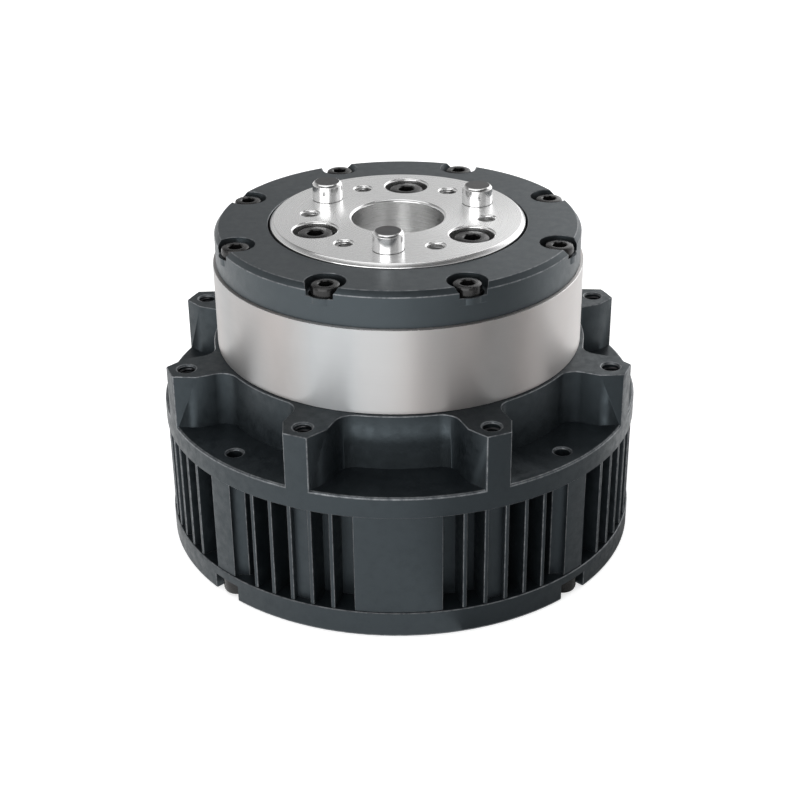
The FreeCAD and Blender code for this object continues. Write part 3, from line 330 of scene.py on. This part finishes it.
def enamelled_wire():
    """Round copper turns laid side by side up each coil."""
    material, tree, shader = new_finish("enamelled_copper_wire")
    turns = add_node(tree, "ShaderNodeTexWave", {"Scale": 0.55, "Distortion": 0.4, "Detail": 1.0},
                     wave_type="BANDS", bands_direction="Z")
    tree.links.new(object_pattern(tree), turns.inputs["Vector"])
    tone = ramp(tree, turns.outputs["Fac"], [(0.0, (0.16, 0.05, 0.02)), (0.6, (0.72, 0.30, 0.13))])
    tree.links.new(tone, shader.inputs["Base Color"])
    shader.inputs["Metallic"].default_value = 1.0
    shader.inputs["Roughness"].default_value = 0.3
    bump(tree, shader, turns.outputs["Fac"], strength=0.8, depth=0.2 * MM)
    return material


def lamination_stack():
    """Thin varnished steel sheets stacked along the axis."""
    material, tree, shader = new_finish("lamination_stack")
    sheets = add_node(tree, "ShaderNodeTexWave", {"Scale": 0.9, "Distortion": 0.0},
                      wave_type="BANDS", bands_direction="Z", wave_profile="SAW")
    tree.links.new(object_pattern(tree), sheets.inputs["Vector"])
    tone = ramp(tree, sheets.outputs["Fac"], [(0.0, (0.05, 0.05, 0.055)), (0.3, (0.25, 0.25, 0.26))])
    tree.links.new(tone, shader.inputs["Base Color"])
    shader.inputs["Metallic"].default_value = 0.8
    shader.inputs["Roughness"].default_value = 0.5
    bump(tree, shader, sheets.outputs["Fac"], strength=0.4, depth=0.05 * MM)
    return material


def circuit_board():
    """Green solder mask over copper tracks, with bare pads."""
    material, tree, shader = new_finish("solder_mask")
    where = object_pattern(tree)
    tracks = add_node(tree, "ShaderNodeTexBrick", {
        "Scale": 1.0, "Mortar Size": 0.12, "Brick Width": 3.2, "Row Height": 0.9,
        "Color1": (0.012, 0.10, 0.045, 1.0), "Color2": (0.014, 0.12, 0.05, 1.0),
        "Mortar": (0.03, 0.22, 0.09, 1.0)})
    tree.links.new(where, tracks.inputs["Vector"])
    pads = add_node(tree, "ShaderNodeTexVoronoi", {"Scale": 0.35, "Randomness": 1.0}, feature="F1")
    tree.links.new(where, pads.inputs["Vector"])
    bare = ramp(tree, pads.outputs["Distance"], [(0.13, 1.0), (0.16, 0.0)])
    colour = blend_colours(tree, bare, tracks.outputs["Color"], (0.62, 0.46, 0.2, 1.0))
    tree.links.new(colour, shader.inputs["Base Color"])
    shader.inputs["Roughness"].default_value = 0.32
    return material


def flag_cloth():
    """Dull cloth of the cards that dim a reflection."""
    material, _, shader = new_finish("dark_flag_cloth")
    shader.inputs["Base Color"].default_value = (0.6, 0.6, 0.6, 1.0)
    shader.inputs["Roughness"].default_value = 0.9
    return material


FINISH = {
    "housing": blasted_anodise("blasted_black_anodise", (0.0035, 0.0048, 0.0060), (0.0055, 0.0072, 0.0088)),
    "cover": blasted_anodise("blasted_cover_anodise", (0.006, 0.0068, 0.0075), (0.009, 0.0098, 0.0105),
                             roughness=(0.38, 0.46), sheen=0.95, mottle_height=0.4),
    # edge strips of the black parts: a lighter grey painted on as an edge highlight
    "edge": edge_painted_highlight("black_edge_painted_highlight", (0.07, 0.078, 0.086), (0.2, 0.21, 0.22)),
    "ring": satin_turned_steel(),
    "ring_edge": plain_metal("ring_edge_steel", (0.5, 0.5, 0.5), (0.75, 0.74, 0.73), (0.2, 0.3)),
    "flange": faced_aluminium("faced_aluminium"),
    "flange_edge": faced_aluminium("bright_bevel_cut", roughness=(0.12, 0.2)),
    "pin": plain_metal("ground_pin_steel", (0.86, 0.86, 0.86), (0.92, 0.92, 0.92), (0.16, 0.22),
                       line_scale=(0.05, 0.05, 8.0), grain=0.03),
    "pin_end": plain_metal("cropped_pin_end", (0.07, 0.07, 0.072), (0.13, 0.13, 0.13), (0.38, 0.5),
                           line_scale=(1.0, 1.0, 1.0), grain=0.2),
    "screw": black_oxide(),
    "gear": plain_metal("oiled_gear_steel", (0.36, 0.36, 0.37), (0.5, 0.5, 0.5), (0.25, 0.36)),
    "bearing": plain_metal("bearing_steel", (0.55, 0.55, 0.56), (0.66, 0.66, 0.66), (0.12, 0.2)),
    "thread": plain_metal("cut_thread", (0.34, 0.34, 0.34), (0.5, 0.5, 0.5), (0.28, 0.4)),
    "black_thread": plain_metal("black_cut_thread", (0.03, 0.032, 0.035), (0.1, 0.1, 0.105), (0.3, 0.45)),
    "nickel": plain_metal("nickel_plate", (0.62, 0.60, 0.56), (0.74, 0.72, 0.68), (0.12, 0.22)),
    "bronze": plain_metal("sintered_bronze", (0.42, 0.26, 0.10), (0.6, 0.4, 0.17), (0.38, 0.5),
                          line_scale=(2.0, 2.0, 2.0), grain=0.3),
    "core": lamination_stack(),
    "copper": enamelled_wire(),
    "board": circuit_board(),
    "power_socket": moulded_plastic("amber_nylon", (0.62, 0.38, 0.03), (0.75, 0.48, 0.06)),
    "signal_socket": moulded_plastic("natural_nylon", (0.62, 0.59, 0.52), (0.75, 0.73, 0.66)),
}

BODY_OF = {name: body for body, names in frame["record"]["behaviour"]["bodies"].items() for name in names}


# ---------------------------------------------------------------- meshes and pieces
def merged_copy(node_name):
    """A node's own surface with its loose triangles joined."""
    shape = bmesh.new()
    shape.from_mesh(frame["nodes"][node_name].data)
    bmesh.ops.remove_doubles(shape, verts=shape.verts[:], dist=MERGE_DISTANCE)
    return shape


def island_of(start, seen):
    """Places of all the points that edges join to a first one. The points are added to seen."""
    queue, places = [start], []
    seen.add(start)
    while queue:
        vertex = queue.pop()
        places.append(vertex.co.copy())
        for edge in vertex.link_edges:
            other = edge.other_vert(vertex)
            if other not in seen:
                seen.add(other)
                queue.append(other)
    return places


def solid_boxes(node_name):
    """Lowest and highest corner of each separate solid in a node, in order of angle round the Z axis."""
    shape = merged_copy(node_name)
    seen, boxes = set(), []
    for vertex in shape.verts:
        if vertex not in seen:
            places = island_of(vertex, seen)
            low = Vector(min(place[axis] for place in places) for axis in range(3))
            high = Vector(max(place[axis] for place in places) for axis in range(3))
            boxes.append((low, high))
    shape.free()

    def angle_round(box):
        low, high = box
        return round(math.atan2(low.y + high.y, low.x + high.x), 4)

    return sorted(boxes, key=angle_round)


def smooth_by_angle(mesh):
    """Smooth faces, with the edges that turn more than SHARP_ANGLE left sharp."""
    mesh.shade_smooth()
    mesh.set_sharp_from_angle(angle=SHARP_ANGLE)


def finished_mesh(name, shape):
    """The mesh of a shape, which is freed, with smooth round faces and sharp edges."""
    mesh = bpy.data.meshes.new(name)
    shape.to_mesh(mesh)
    shape.free()
    smooth_by_angle(mesh)
    return mesh


def evaluated_mesh(holder, name):
    """A plain mesh of an object with its modifiers applied."""
    bpy.context.view_layer.update()
    ready = holder.evaluated_get(bpy.context.evaluated_depsgraph_get())
    mesh = bpy.data.meshes.new_from_object(ready)
    mesh.name = name
    return mesh


def even_shading(mesh, name):
    """The same mesh with normals that lean to its large faces, so flat faces stay flat beside round ones."""
    holder = bpy.data.objects.new(f"{name}_holder", mesh)
    bpy.context.scene.collection.objects.link(holder)
    modifier = holder.modifiers.new("even_shading", "WEIGHTED_NORMAL")
    modifier.mode = "FACE_AREA"
    modifier.weight = 50
    modifier.keep_sharp = True
    result = evaluated_mesh(holder, name)
    bpy.data.objects.remove(holder)
    bpy.data.meshes.remove(mesh)
    return result


def as_piece(name, mesh, materials, body):
    """An object of a mesh, riding on a body. A mesh that has materials keeps them."""
    piece = bpy.data.objects.new(name, mesh)
    bpy.context.scene.collection.objects.link(piece)
    if not mesh.materials:
        for material in materials:
            mesh.materials.append(material)
    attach(piece, body)
    return piece


def edged_piece(node_name, name, main, edge, width):
    """Stands for a rigid node: the same shape with its hard edges broken, and the strips in another finish."""
    shape = merged_copy(node_name)
    bmesh.ops.dissolve_limit(shape, angle_limit=FLAT_ANGLE, verts=shape.verts[:], edges=shape.edges[:])
    hard = [e for e in shape.edges if e.is_manifold and e.is_convex and e.calc_face_angle(0.0) > SHARP_ANGLE]
    bmesh.ops.bevel(shape, geom=hard, offset=width, offset_type="OFFSET", segments=1, profile=0.5,
                    affect="EDGES", clamp_overlap=False, material=1)
    mesh = even_shading(finished_mesh(name, shape), name)
    piece = as_piece(name, mesh, [FINISH[main], FINISH[edge]], BODY_OF[node_name])
    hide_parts(node_name)
    return piece


def dress_node(node_name, finish):
    """A node whose shape is right keeps it and gets a finish."""
    for socket in frame["nodes"][node_name].material_slots:
        socket.material = FINISH[finish]


# ---------------------------------------------------------------- screws, threads and their copies
def turned_mesh(name, rings, steps):
    """Closed rings joined in order. Each is (height, radius), and a radius may be a rule of step and angle."""
    shape = bmesh.new()
    loops = []
    for height, radius in rings:
        loop = []
        for step in range(steps):
            angle = FULL_TURN * step / steps
            reach = radius(step, angle) if callable(radius) else radius
            loop.append(shape.verts.new((reach * math.cos(angle), reach * math.sin(angle), height)))
        loops.append(loop)
    for lower, upper in zip(loops, loops[1:]):
        for step in range(steps):
            after = (step + 1) % steps
            shape.faces.new((lower[step], lower[after], upper[after], upper[step]))
    shape.faces.new(list(reversed(loops[0])))
    shape.faces.new(loops[-1])
    bmesh.ops.recalc_face_normals(shape, faces=shape.faces[:])
    return finished_mesh(name, shape)


def cap_screw_mesh(name, head_radius, head_height, shank_radius, length, key_width):
    """A socket head cap screw with a knurled head, its seat at height 0."""
    groove_radius = head_radius - KNURL_DEPTH
    key_side = math.radians(60.0)

    def knurled(step, angle):
        return groove_radius if step % 2 else head_radius

    def hexagon(step, angle):
        return key_width / 2.0 / math.cos((angle + key_side / 2.0) % key_side - key_side / 2.0)

    mouth = key_width / 2.0 / math.cos(key_side / 2.0) + KEY_CHAMFER
    rings = [
        (-length, shank_radius * 0.6),
        (-length + SHANK_POINT, shank_radius),
        (0.0, shank_radius),
        (0.0, groove_radius),
        (0.2 * MM, knurled),
        (head_height - HEAD_CORNER * 1.6, knurled),
        (head_height - HEAD_CORNER * 1.2, groove_radius),
        (head_height - HEAD_CORNER * 0.4, head_radius - HEAD_CORNER * 0.5),
        (head_height, head_radius - HEAD_CORNER * 1.3),
        (head_height, mouth),
        (head_height - KEY_CHAMFER_DEPTH, hexagon),
        (head_height * 0.5, hexagon),
        (head_height * 0.42, key_width * 0.25),
    ]
    return turned_mesh(name, rings, SCREW_STEPS)


def thread_mesh(name, radius):
    """A closed helical ridge that stands in from a tapped hole's wall, its first turn at height 0."""
    shape = bmesh.new()
    total = int(THREAD_TURNS * THREAD_STEPS)
    wall = radius + THREAD_ROOT_SINK
    half_root = THREAD_PITCH * 0.4
    rows = []
    for index in range(total + 1):
        angle = FULL_TURN * index / THREAD_STEPS
        height = -THREAD_PITCH * index / THREAD_STEPS
        steps_to_end = min(index, total - index)
        crest = radius - THREAD_DEPTH * min(1.0, steps_to_end / THREAD_STEPS * FADES_PER_TURN)
        row = [(wall, height + half_root), (crest, height), (wall, height - half_root)]
        rows.append([shape.verts.new((r * math.cos(angle), r * math.sin(angle), z)) for r, z in row])
    for first, second in zip(rows, rows[1:]):
        for corner in range(3):
            after = (corner + 1) % 3
            shape.faces.new((first[corner], first[after], second[after], second[corner]))
    shape.faces.new(rows[0])
    shape.faces.new(list(reversed(rows[-1])))
    bmesh.ops.recalc_face_normals(shape, faces=shape.faces[:])
    return finished_mesh(name, shape)


def copies_tree(name):
    """Geometry nodes that set a piece on every point, each turned at random about its own axis."""
    tree = bpy.data.node_groups.new(name, "GeometryNodeTree")
    face = tree.interface
    face.new_socket("Points", in_out="INPUT", socket_type="NodeSocketGeometry")
    face.new_socket("Piece", in_out="INPUT", socket_type="NodeSocketObject")
    face.new_socket("Largest Turn", in_out="INPUT", socket_type="NodeSocketFloat")
    face.new_socket("Seed", in_out="INPUT", socket_type="NodeSocketInt")
    face.new_socket("Finish", in_out="INPUT", socket_type="NodeSocketMaterial")
    face.new_socket("Copies", in_out="OUTPUT", socket_type="NodeSocketGeometry")
    start = tree.nodes.new("NodeGroupInput")
    end = tree.nodes.new("NodeGroupOutput")
    piece = tree.nodes.new("GeometryNodeObjectInfo")
    turn = tree.nodes.new("FunctionNodeRandomValue")
    turn.data_type = "FLOAT"
    spin = tree.nodes.new("ShaderNodeCombineXYZ")
    place = tree.nodes.new("GeometryNodeInstanceOnPoints")
    real = tree.nodes.new("GeometryNodeRealizeInstances")
    paint = tree.nodes.new("GeometryNodeSetMaterial")
    largest = [s for s in turn.inputs if s.name == "Max" and s.enabled][0]
    amount = [s for s in turn.outputs if s.enabled][0]
    link = tree.links.new
    link(start.outputs["Piece"], piece.inputs["Object"])
    link(start.outputs["Largest Turn"], largest)
    link(start.outputs["Seed"], turn.inputs["Seed"])
    link(amount, spin.inputs["Z"])
    link(start.outputs["Points"], place.inputs["Points"])
    link(piece.outputs["Geometry"], place.inputs["Instance"])
    link(spin.outputs[0], place.inputs["Rotation"])
    link(place.outputs["Instances"], real.inputs["Geometry"])
    link(real.outputs["Geometry"], paint.inputs["Geometry"])
    link(start.outputs["Finish"], paint.inputs["Material"])
    link(paint.outputs["Geometry"], end.inputs["Copies"])
    return tree


COPIES = copies_tree("copies_on_points")


def set_out(name, piece_mesh, spots, finish, body):
    """One mesh of copies of piece_mesh, one on each spot."""
    cloud = bpy.data.meshes.new(f"{name}_spots")
    cloud.from_pydata(spots, [], [])
    holder = bpy.data.objects.new(f"{name}_holder", cloud)
    pattern = bpy.data.objects.new(f"{name}_pattern", piece_mesh)
    for item in (holder, pattern):
        bpy.context.scene.collection.objects.link(item)
    modifier = holder.modifiers.new("copies", "NODES")
    modifier.node_group = COPIES
    sockets = {item.name: item.identifier for item in COPIES.interface.items_tree if item.in_out == "INPUT"}
    modifier[sockets["Piece"]] = pattern
    modifier[sockets["Largest Turn"]] = FULL_TURN
    modifier[sockets["Seed"]] = COPY_SEED
    modifier[sockets["Finish"]] = FINISH[finish]
    mesh = evaluated_mesh(holder, name)
    for item in (holder, pattern):
        bpy.data.objects.remove(item)
    return as_piece(name, mesh, [FINISH[finish]], body)


def screw_set(node_name, name, head_radius, head_height, shank_radius, key_width, head_up=True):
    """Detailed screws in place of a node of plain ones."""
    boxes = solid_boxes(node_name)
    spots = []
    for low, high in boxes:
        middle = (low + high) / 2.0
        seat = high.z - head_height if head_up else low.z + head_height
        spots.append((middle.x, middle.y, seat))
    first_low, first_high = boxes[0]
    length = first_high.z - first_low.z - head_height
    mesh = cap_screw_mesh(f"{name}_pattern", head_radius, head_height, shank_radius, length, key_width)
    if not head_up:
        mesh.transform(Matrix.Rotation(HALF_TURN, 4, "X"))
    piece = set_out(name, mesh, spots, "screw", BODY_OF[node_name])
    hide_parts(node_name)


def tapped_threads(name, node_name, bolts, first_angle, finish):
    """Turns of thread in a ring of tapped holes, whose places come from their mount."""
    dims = bolts["dims"]
    count = dims["count"]
    circle_radius = dims["pcd_mm"] * MM / 2.0
    height = bolts["pos_m"][2] - THREAD_START
    angles = [first_angle + FULL_TURN * step / count for step in range(count)]
    spots = [(circle_radius * math.cos(angle), circle_radius * math.sin(angle), height) for angle in angles]
    mesh = thread_mesh(f"{name}_pattern", dims["hole_r_mm"] * MM)
    set_out(name, mesh, spots, finish, BODY_OF[node_name])


# ---------------------------------------------------------------- ledges in the screw notches
def ledge_row(angle, centre_reach, heading, outer_radius, corner_turn, bottom, top):
    """A cut through the ledge from its hole outwards, and whether it ends at the cover's outer wall."""
    across, out = math.sin(angle), math.cos(angle)
    at_outer_wall = abs(angle) <= corner_turn
    far = LEDGE_HALF_WIDTH
    if at_outer_wall:
        far = math.sqrt(outer_radius ** 2 - (centre_reach * across) ** 2) - centre_reach * out
    elif out > 0.0:
        far = LEDGE_HALF_WIDTH / abs(across)
    lip = LEDGE_CHAMFER if at_outer_wall else 0.0
    profile = [
        (LEDGE_HOLE_RADIUS, bottom),
        (LEDGE_HOLE_RADIUS, top - LEDGE_CHAMFER),
        (LEDGE_HOLE_RADIUS + LEDGE_CHAMFER, top),
        (far - lip, top),
        (far, top - max(lip, LEAST_LIP)),
        (far, bottom),
    ]
    cosine, sine = math.cos(heading), math.sin(heading)
    row = []
    for distance, height in profile:
        x, y = centre_reach + distance * out, distance * across
        row.append((x * cosine - y * sine, x * sine + y * cosine, height))
    return row, at_outer_wall


def seat_ledge(name, centre, outer_radius, bottom, top):
    """The step in a screw notch: a flat ledge round the head's counterbore, out to the cover's wall."""
    centre_reach = math.hypot(centre.x, centre.y)
    heading = math.atan2(centre.y, centre.x)
    corner_out = math.sqrt(outer_radius ** 2 - LEDGE_HALF_WIDTH ** 2) - centre_reach
    corner_turn = math.atan2(LEDGE_HALF_WIDTH, corner_out)
    even_turns = [HALF_TURN * (2.0 * step / LEDGE_STEPS - 1.0) for step in range(LEDGE_STEPS)]
    shape = bmesh.new()
    grid = []
    for angle in sorted(even_turns + [corner_turn, -corner_turn]):
        row, at_outer_wall = ledge_row(angle, centre_reach, heading, outer_radius, corner_turn, bottom, top)
        grid.append(([shape.verts.new(spot) for spot in row], at_outer_wall))
    inner_chamfer, outer_chamfer = 1, 3
    for index, (first, first_outer) in enumerate(grid):
        second, second_outer = grid[(index + 1) % len(grid)]
        for step in range(len(first)):
            after = (step + 1) % len(first)
            face = shape.faces.new((first[step], second[step], second[after], first[after]))
            broken = step == inner_chamfer or (step == outer_chamfer and first_outer and second_outer)
            face.material_index = 1 if broken else 0
    bmesh.ops.recalc_face_normals(shape, faces=shape.faces[:])
    return even_shading(finished_mesh(name, shape), name)


def cover_ledges():
    """One ledge in each of the front cover's screw notches."""
    cover_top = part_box("front_cover")[1].z
    cover_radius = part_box("front_cover")[1].x
    notch_floor = cover_top - NOTCH_DEPTH
    for index, (low, high) in enumerate(solid_boxes("front_cover_screws")):
        name = f"screw_seat_ledge_{index + 1}"
        mesh = seat_ledge(name, (low + high) / 2.0, cover_radius - LEDGE_INSET,
                          notch_floor - LEDGE_SINK, notch_floor + LEDGE_RISE)
        as_piece(name, mesh, [FINISH["cover"], FINISH["edge"]], BODY_OF["front_cover"])


# ---------------------------------------------------------------- the pieces
edged_piece("main_housing", "finned_housing", "housing", "edge", CASTING_BREAK)
edged_piece("rear_cover", "rear_lid", "housing", "edge", CASTING_BREAK)
edged_piece("front_cover", "front_ring_cover", "cover", "edge", COVER_BREAK)
edged_piece("ring_gear", "toothed_ring", "ring", "ring_edge", FINE_BREAK)
edged_piece("output_flange", "output_flange_face", "flange", "flange_edge", FLANGE_BREAK)
pins = edged_piece("drive_pins", "dowel_pins", "pin", "ring_edge", FINE_BREAK)

pins.data.materials.append(FINISH["pin_end"])
pin_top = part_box("drive_pins")[1].z
for polygon in pins.data.polygons:
    if polygon.normal.z > FACING_UP and polygon.center.z > pin_top - PIN_END_BAND:
        polygon.material_index = PIN_END_SLOT

screw_set("front_cover_screws", "cover_cap_screws", *M3_SCREW)
screw_set("rear_cover_screws", "rear_cap_screws", *M3_SCREW, head_up=False)
screw_set("carrier_screws", "carrier_cap_screws", *M4_SCREW)
cover_ledges()

MOUNTS = {mount["name"]: mount for mount in frame["record"]["mounts"]}
first_pin = MOUNTS["drive_pin_1"]["pos_m"]
pin_angle = math.atan2(first_pin[1], first_pin[0])
tapped_threads("output_hole_threads", "output_flange", MOUNTS["output_bolts"],
               pin_angle + OUTPUT_HOLE_TURN, "thread")
tapped_threads("boss_hole_threads", "main_housing", MOUNTS["housing_bolts"], BOSS_TURN, "black_thread")

NODES_BY_FINISH = {
    "gear": ["sun_gear", "planet_gear_1", "planet_gear_2", "planet_gear_3", "carrier_plate"],
    "bronze": ["planet_bush_1", "planet_bush_2", "planet_bush_3"],
    "bearing": ["output_bearing_inner_race", "output_bearing_outer_race", "output_bearing_rollers",
                "front_rotor_bearing_outer", "front_rotor_bearing_inner",
                "rear_rotor_bearing_outer", "rear_rotor_bearing_inner"],
    "core": ["stator_core"],
    "copper": ["stator_windings"],
    "flange": ["rotor_hub"],
    "nickel": ["rotor_magnets", "encoder_magnet"],
    "board": ["driver_board"],
    "screw": ["board_screws"],
    "power_socket": ["power_connector"],
    "signal_socket": ["signal_connector"],
}
for finish, node_names in NODES_BY_FINISH.items():
    for node_name in node_names:
        dress_node(node_name, finish)


# ---------------------------------------------------------------- studio
def stage_finish(name, seen, lit):
    """A pale finish that glows to the camera and in reflections, and is a plain pale surface to light."""
    material = bpy.data.materials.new(name)
    material.use_nodes = True
    tree = material.node_tree
    tree.nodes.clear()
    end = add_node(tree, "ShaderNodeOutputMaterial")
    plain = add_node(tree, "ShaderNodeBsdfDiffuse", {"Color": (lit, lit, lit, 1.0)})
    glow = add_node(tree, "ShaderNodeEmission", {"Color": WHITE, "Strength": seen})
    path = add_node(tree, "ShaderNodeLightPath")
    both = add_node(tree, "ShaderNodeAddShader")
    choose = add_node(tree, "ShaderNodeMixShader")
    shown = math_node(tree, "MAXIMUM", path.outputs["Is Camera Ray"], path.outputs["Is Transmission Ray"])
    shown = math_node(tree, "MAXIMUM", shown, path.outputs["Is Glossy Ray"])
    tree.links.new(plain.outputs[0], both.inputs[0])
    tree.links.new(glow.outputs[0], both.inputs[1])
    tree.links.new(shown, choose.inputs["Fac"])
    tree.links.new(plain.outputs[0], choose.inputs[1])
    tree.links.new(both.outputs[0], choose.inputs[2])
    tree.links.new(choose.outputs[0], end.inputs["Surface"])
    return material


def lay_floor():
    """A wide floor, a hair under the rear cover, so that the two flat faces don't fight."""
    corners = [(-1.0, -1.0), (1.0, -1.0), (1.0, 1.0), (-1.0, 1.0)]
    mesh = bpy.data.meshes.new("floor")
    points = [(x * FLOOR_REACH, y * FLOOR_REACH, FLOOR_LEVEL) for x, y in corners]
    mesh.from_pydata(points, [], [(0, 1, 2, 3)])
    mesh.materials.append(stage_finish("pale_floor", FLOOR_GLOW, FLOOR_TONE))
    floor = bpy.data.objects.new("floor", mesh)
    bpy.context.scene.collection.objects.link(floor)


def choose_shader(tree, share, low, high):
    """The low shader where share is 0, and the high one where it is 1."""
    item = add_node(tree, "ShaderNodeMixShader")
    tree.links.new(share, item.inputs["Fac"])
    tree.links.new(low, item.inputs[1])
    tree.links.new(high, item.inputs[2])
    return item.outputs[0]


def light_world():
    """White to the camera and dim as light. In reflections it darkens overhead and has one brighter side."""
    world = bpy.data.worlds.new("studio")
    bpy.context.scene.world = world
    world.use_nodes = True
    sky = world.node_tree
    sky.nodes.clear()
    end = add_node(sky, "ShaderNodeOutputWorld")
    room = add_node(sky, "ShaderNodeBackground", {"Color": WHITE, "Strength": ROOM_LIGHT})
    walls = add_node(sky, "ShaderNodeBackground", {"Strength": 1.0})
    white = add_node(sky, "ShaderNodeBackground", {"Color": WHITE, "Strength": 1.0})
    way = add_node(sky, "ShaderNodeTexCoord")
    parts = add_node(sky, "ShaderNodeSeparateXYZ")
    sky.links.new(way.outputs["Generated"], parts.inputs[0])
    ceiling = ramp(sky, parts.outputs[2], [(0.0, 1.0), (0.35, 0.95), (0.55, 0.5), (0.75, 0.12), (1.0, 0.08)])
    side = add_node(sky, "ShaderNodeVectorMath", operation="DOT_PRODUCT")
    side.inputs[1].default_value = BRIGHT_SIDE
    sky.links.new(way.outputs["Generated"], side.inputs[0])
    side_share = math_node(sky, "MULTIPLY_ADD", side.outputs["Value"], 0.5, 0.5)
    side_tone = ramp(sky, side_share, [(0.0, 0.9), (0.3, 0.6), (0.6, 0.5), (0.72, 0.8), (0.85, 1.0)])
    sky.links.new(blend_colours(sky, 1.0, ceiling, side_tone, "MULTIPLY"), walls.inputs["Color"])
    path = add_node(sky, "ShaderNodeLightPath")
    seen = math_node(sky, "MAXIMUM", path.outputs["Is Camera Ray"], path.outputs["Is Transmission Ray"])
    unseen = choose_shader(sky, path.outputs["Is Glossy Ray"], room.outputs[0], walls.outputs[0])
    sky.links.new(choose_shader(sky, seen, unseen, white.outputs[0]), end.inputs["Surface"])


def soft_box(name, middle, width, height, power):
    """A rectangular lamp that faces the actuator."""
    light = bpy.data.lights.new(name, "AREA")
    light.shape = "RECTANGLE"
    light.size = width
    light.size_y = height
    light.energy = power
    lamp = bpy.data.objects.new(name, light)
    lamp.location = middle
    lamp.rotation_mode = "QUATERNION"
    lamp.rotation_quaternion = (Vector(LIGHT_AIM) - Vector(middle)).to_track_quat("-Z", "Y")
    bpy.context.scene.collection.objects.link(lamp)


def flag(name, middle, toward, width, height, material):
    """A flat card that faces a point and shows in reflections only."""
    shape = bmesh.new()
    bmesh.ops.create_grid(shape, x_segments=1, y_segments=1, size=0.5)
    mesh = bpy.data.meshes.new(name)
    shape.to_mesh(mesh)
    shape.free()
    mesh.materials.append(material)
    board = bpy.data.objects.new(name, mesh)
    board.location = middle
    board.rotation_mode = "QUATERNION"
    board.rotation_quaternion = (Vector(toward) - Vector(middle)).to_track_quat("Z", "Y")
    board.scale = (width, height, 1.0)
    bpy.context.scene.collection.objects.link(board)
    board.visible_camera = False
    board.visible_diffuse = False
    board.visible_shadow = False


def place_camera():
    """A long-lens camera in front of the actuator and above it."""
    data = bpy.data.cameras.new("camera")
    data.sensor_width = SENSOR_WIDTH
    data.lens = LENS
    camera = bpy.data.objects.new("camera", data)
    bpy.context.scene.collection.objects.link(camera)
    turn = Matrix((RIGHT, UP, BACK)).transposed().to_4x4()
    camera.matrix_world = Matrix.Translation(CAMERA_PLACE * MM) @ turn
    bpy.context.scene.camera = camera


lay_floor()
light_world()
soft_box("top_soft_box", (-0.10, 0.10, 0.75), width=0.7, height=0.7, power=1.8)
soft_box("back_right_soft_box", (0.42, 0.60, 0.42), width=0.7, height=0.6, power=1.5)
soft_box("front_left_soft_box", (-0.26, -0.62, 0.24), width=0.9, height=0.42, power=2.6)
cloth = flag_cloth()
flag("standing_dark_flag", (0.125, -0.088, 0.07), (0.0, 0.0, 0.07), 0.10, 0.14, cloth)
flag("lying_dark_flag", (0.112, -0.10, 0.0005), (0.112, -0.10, 0.5), 0.20, 0.20, cloth)
place_camera()
bpy.context.scene.view_settings.view_transform = "Standard"
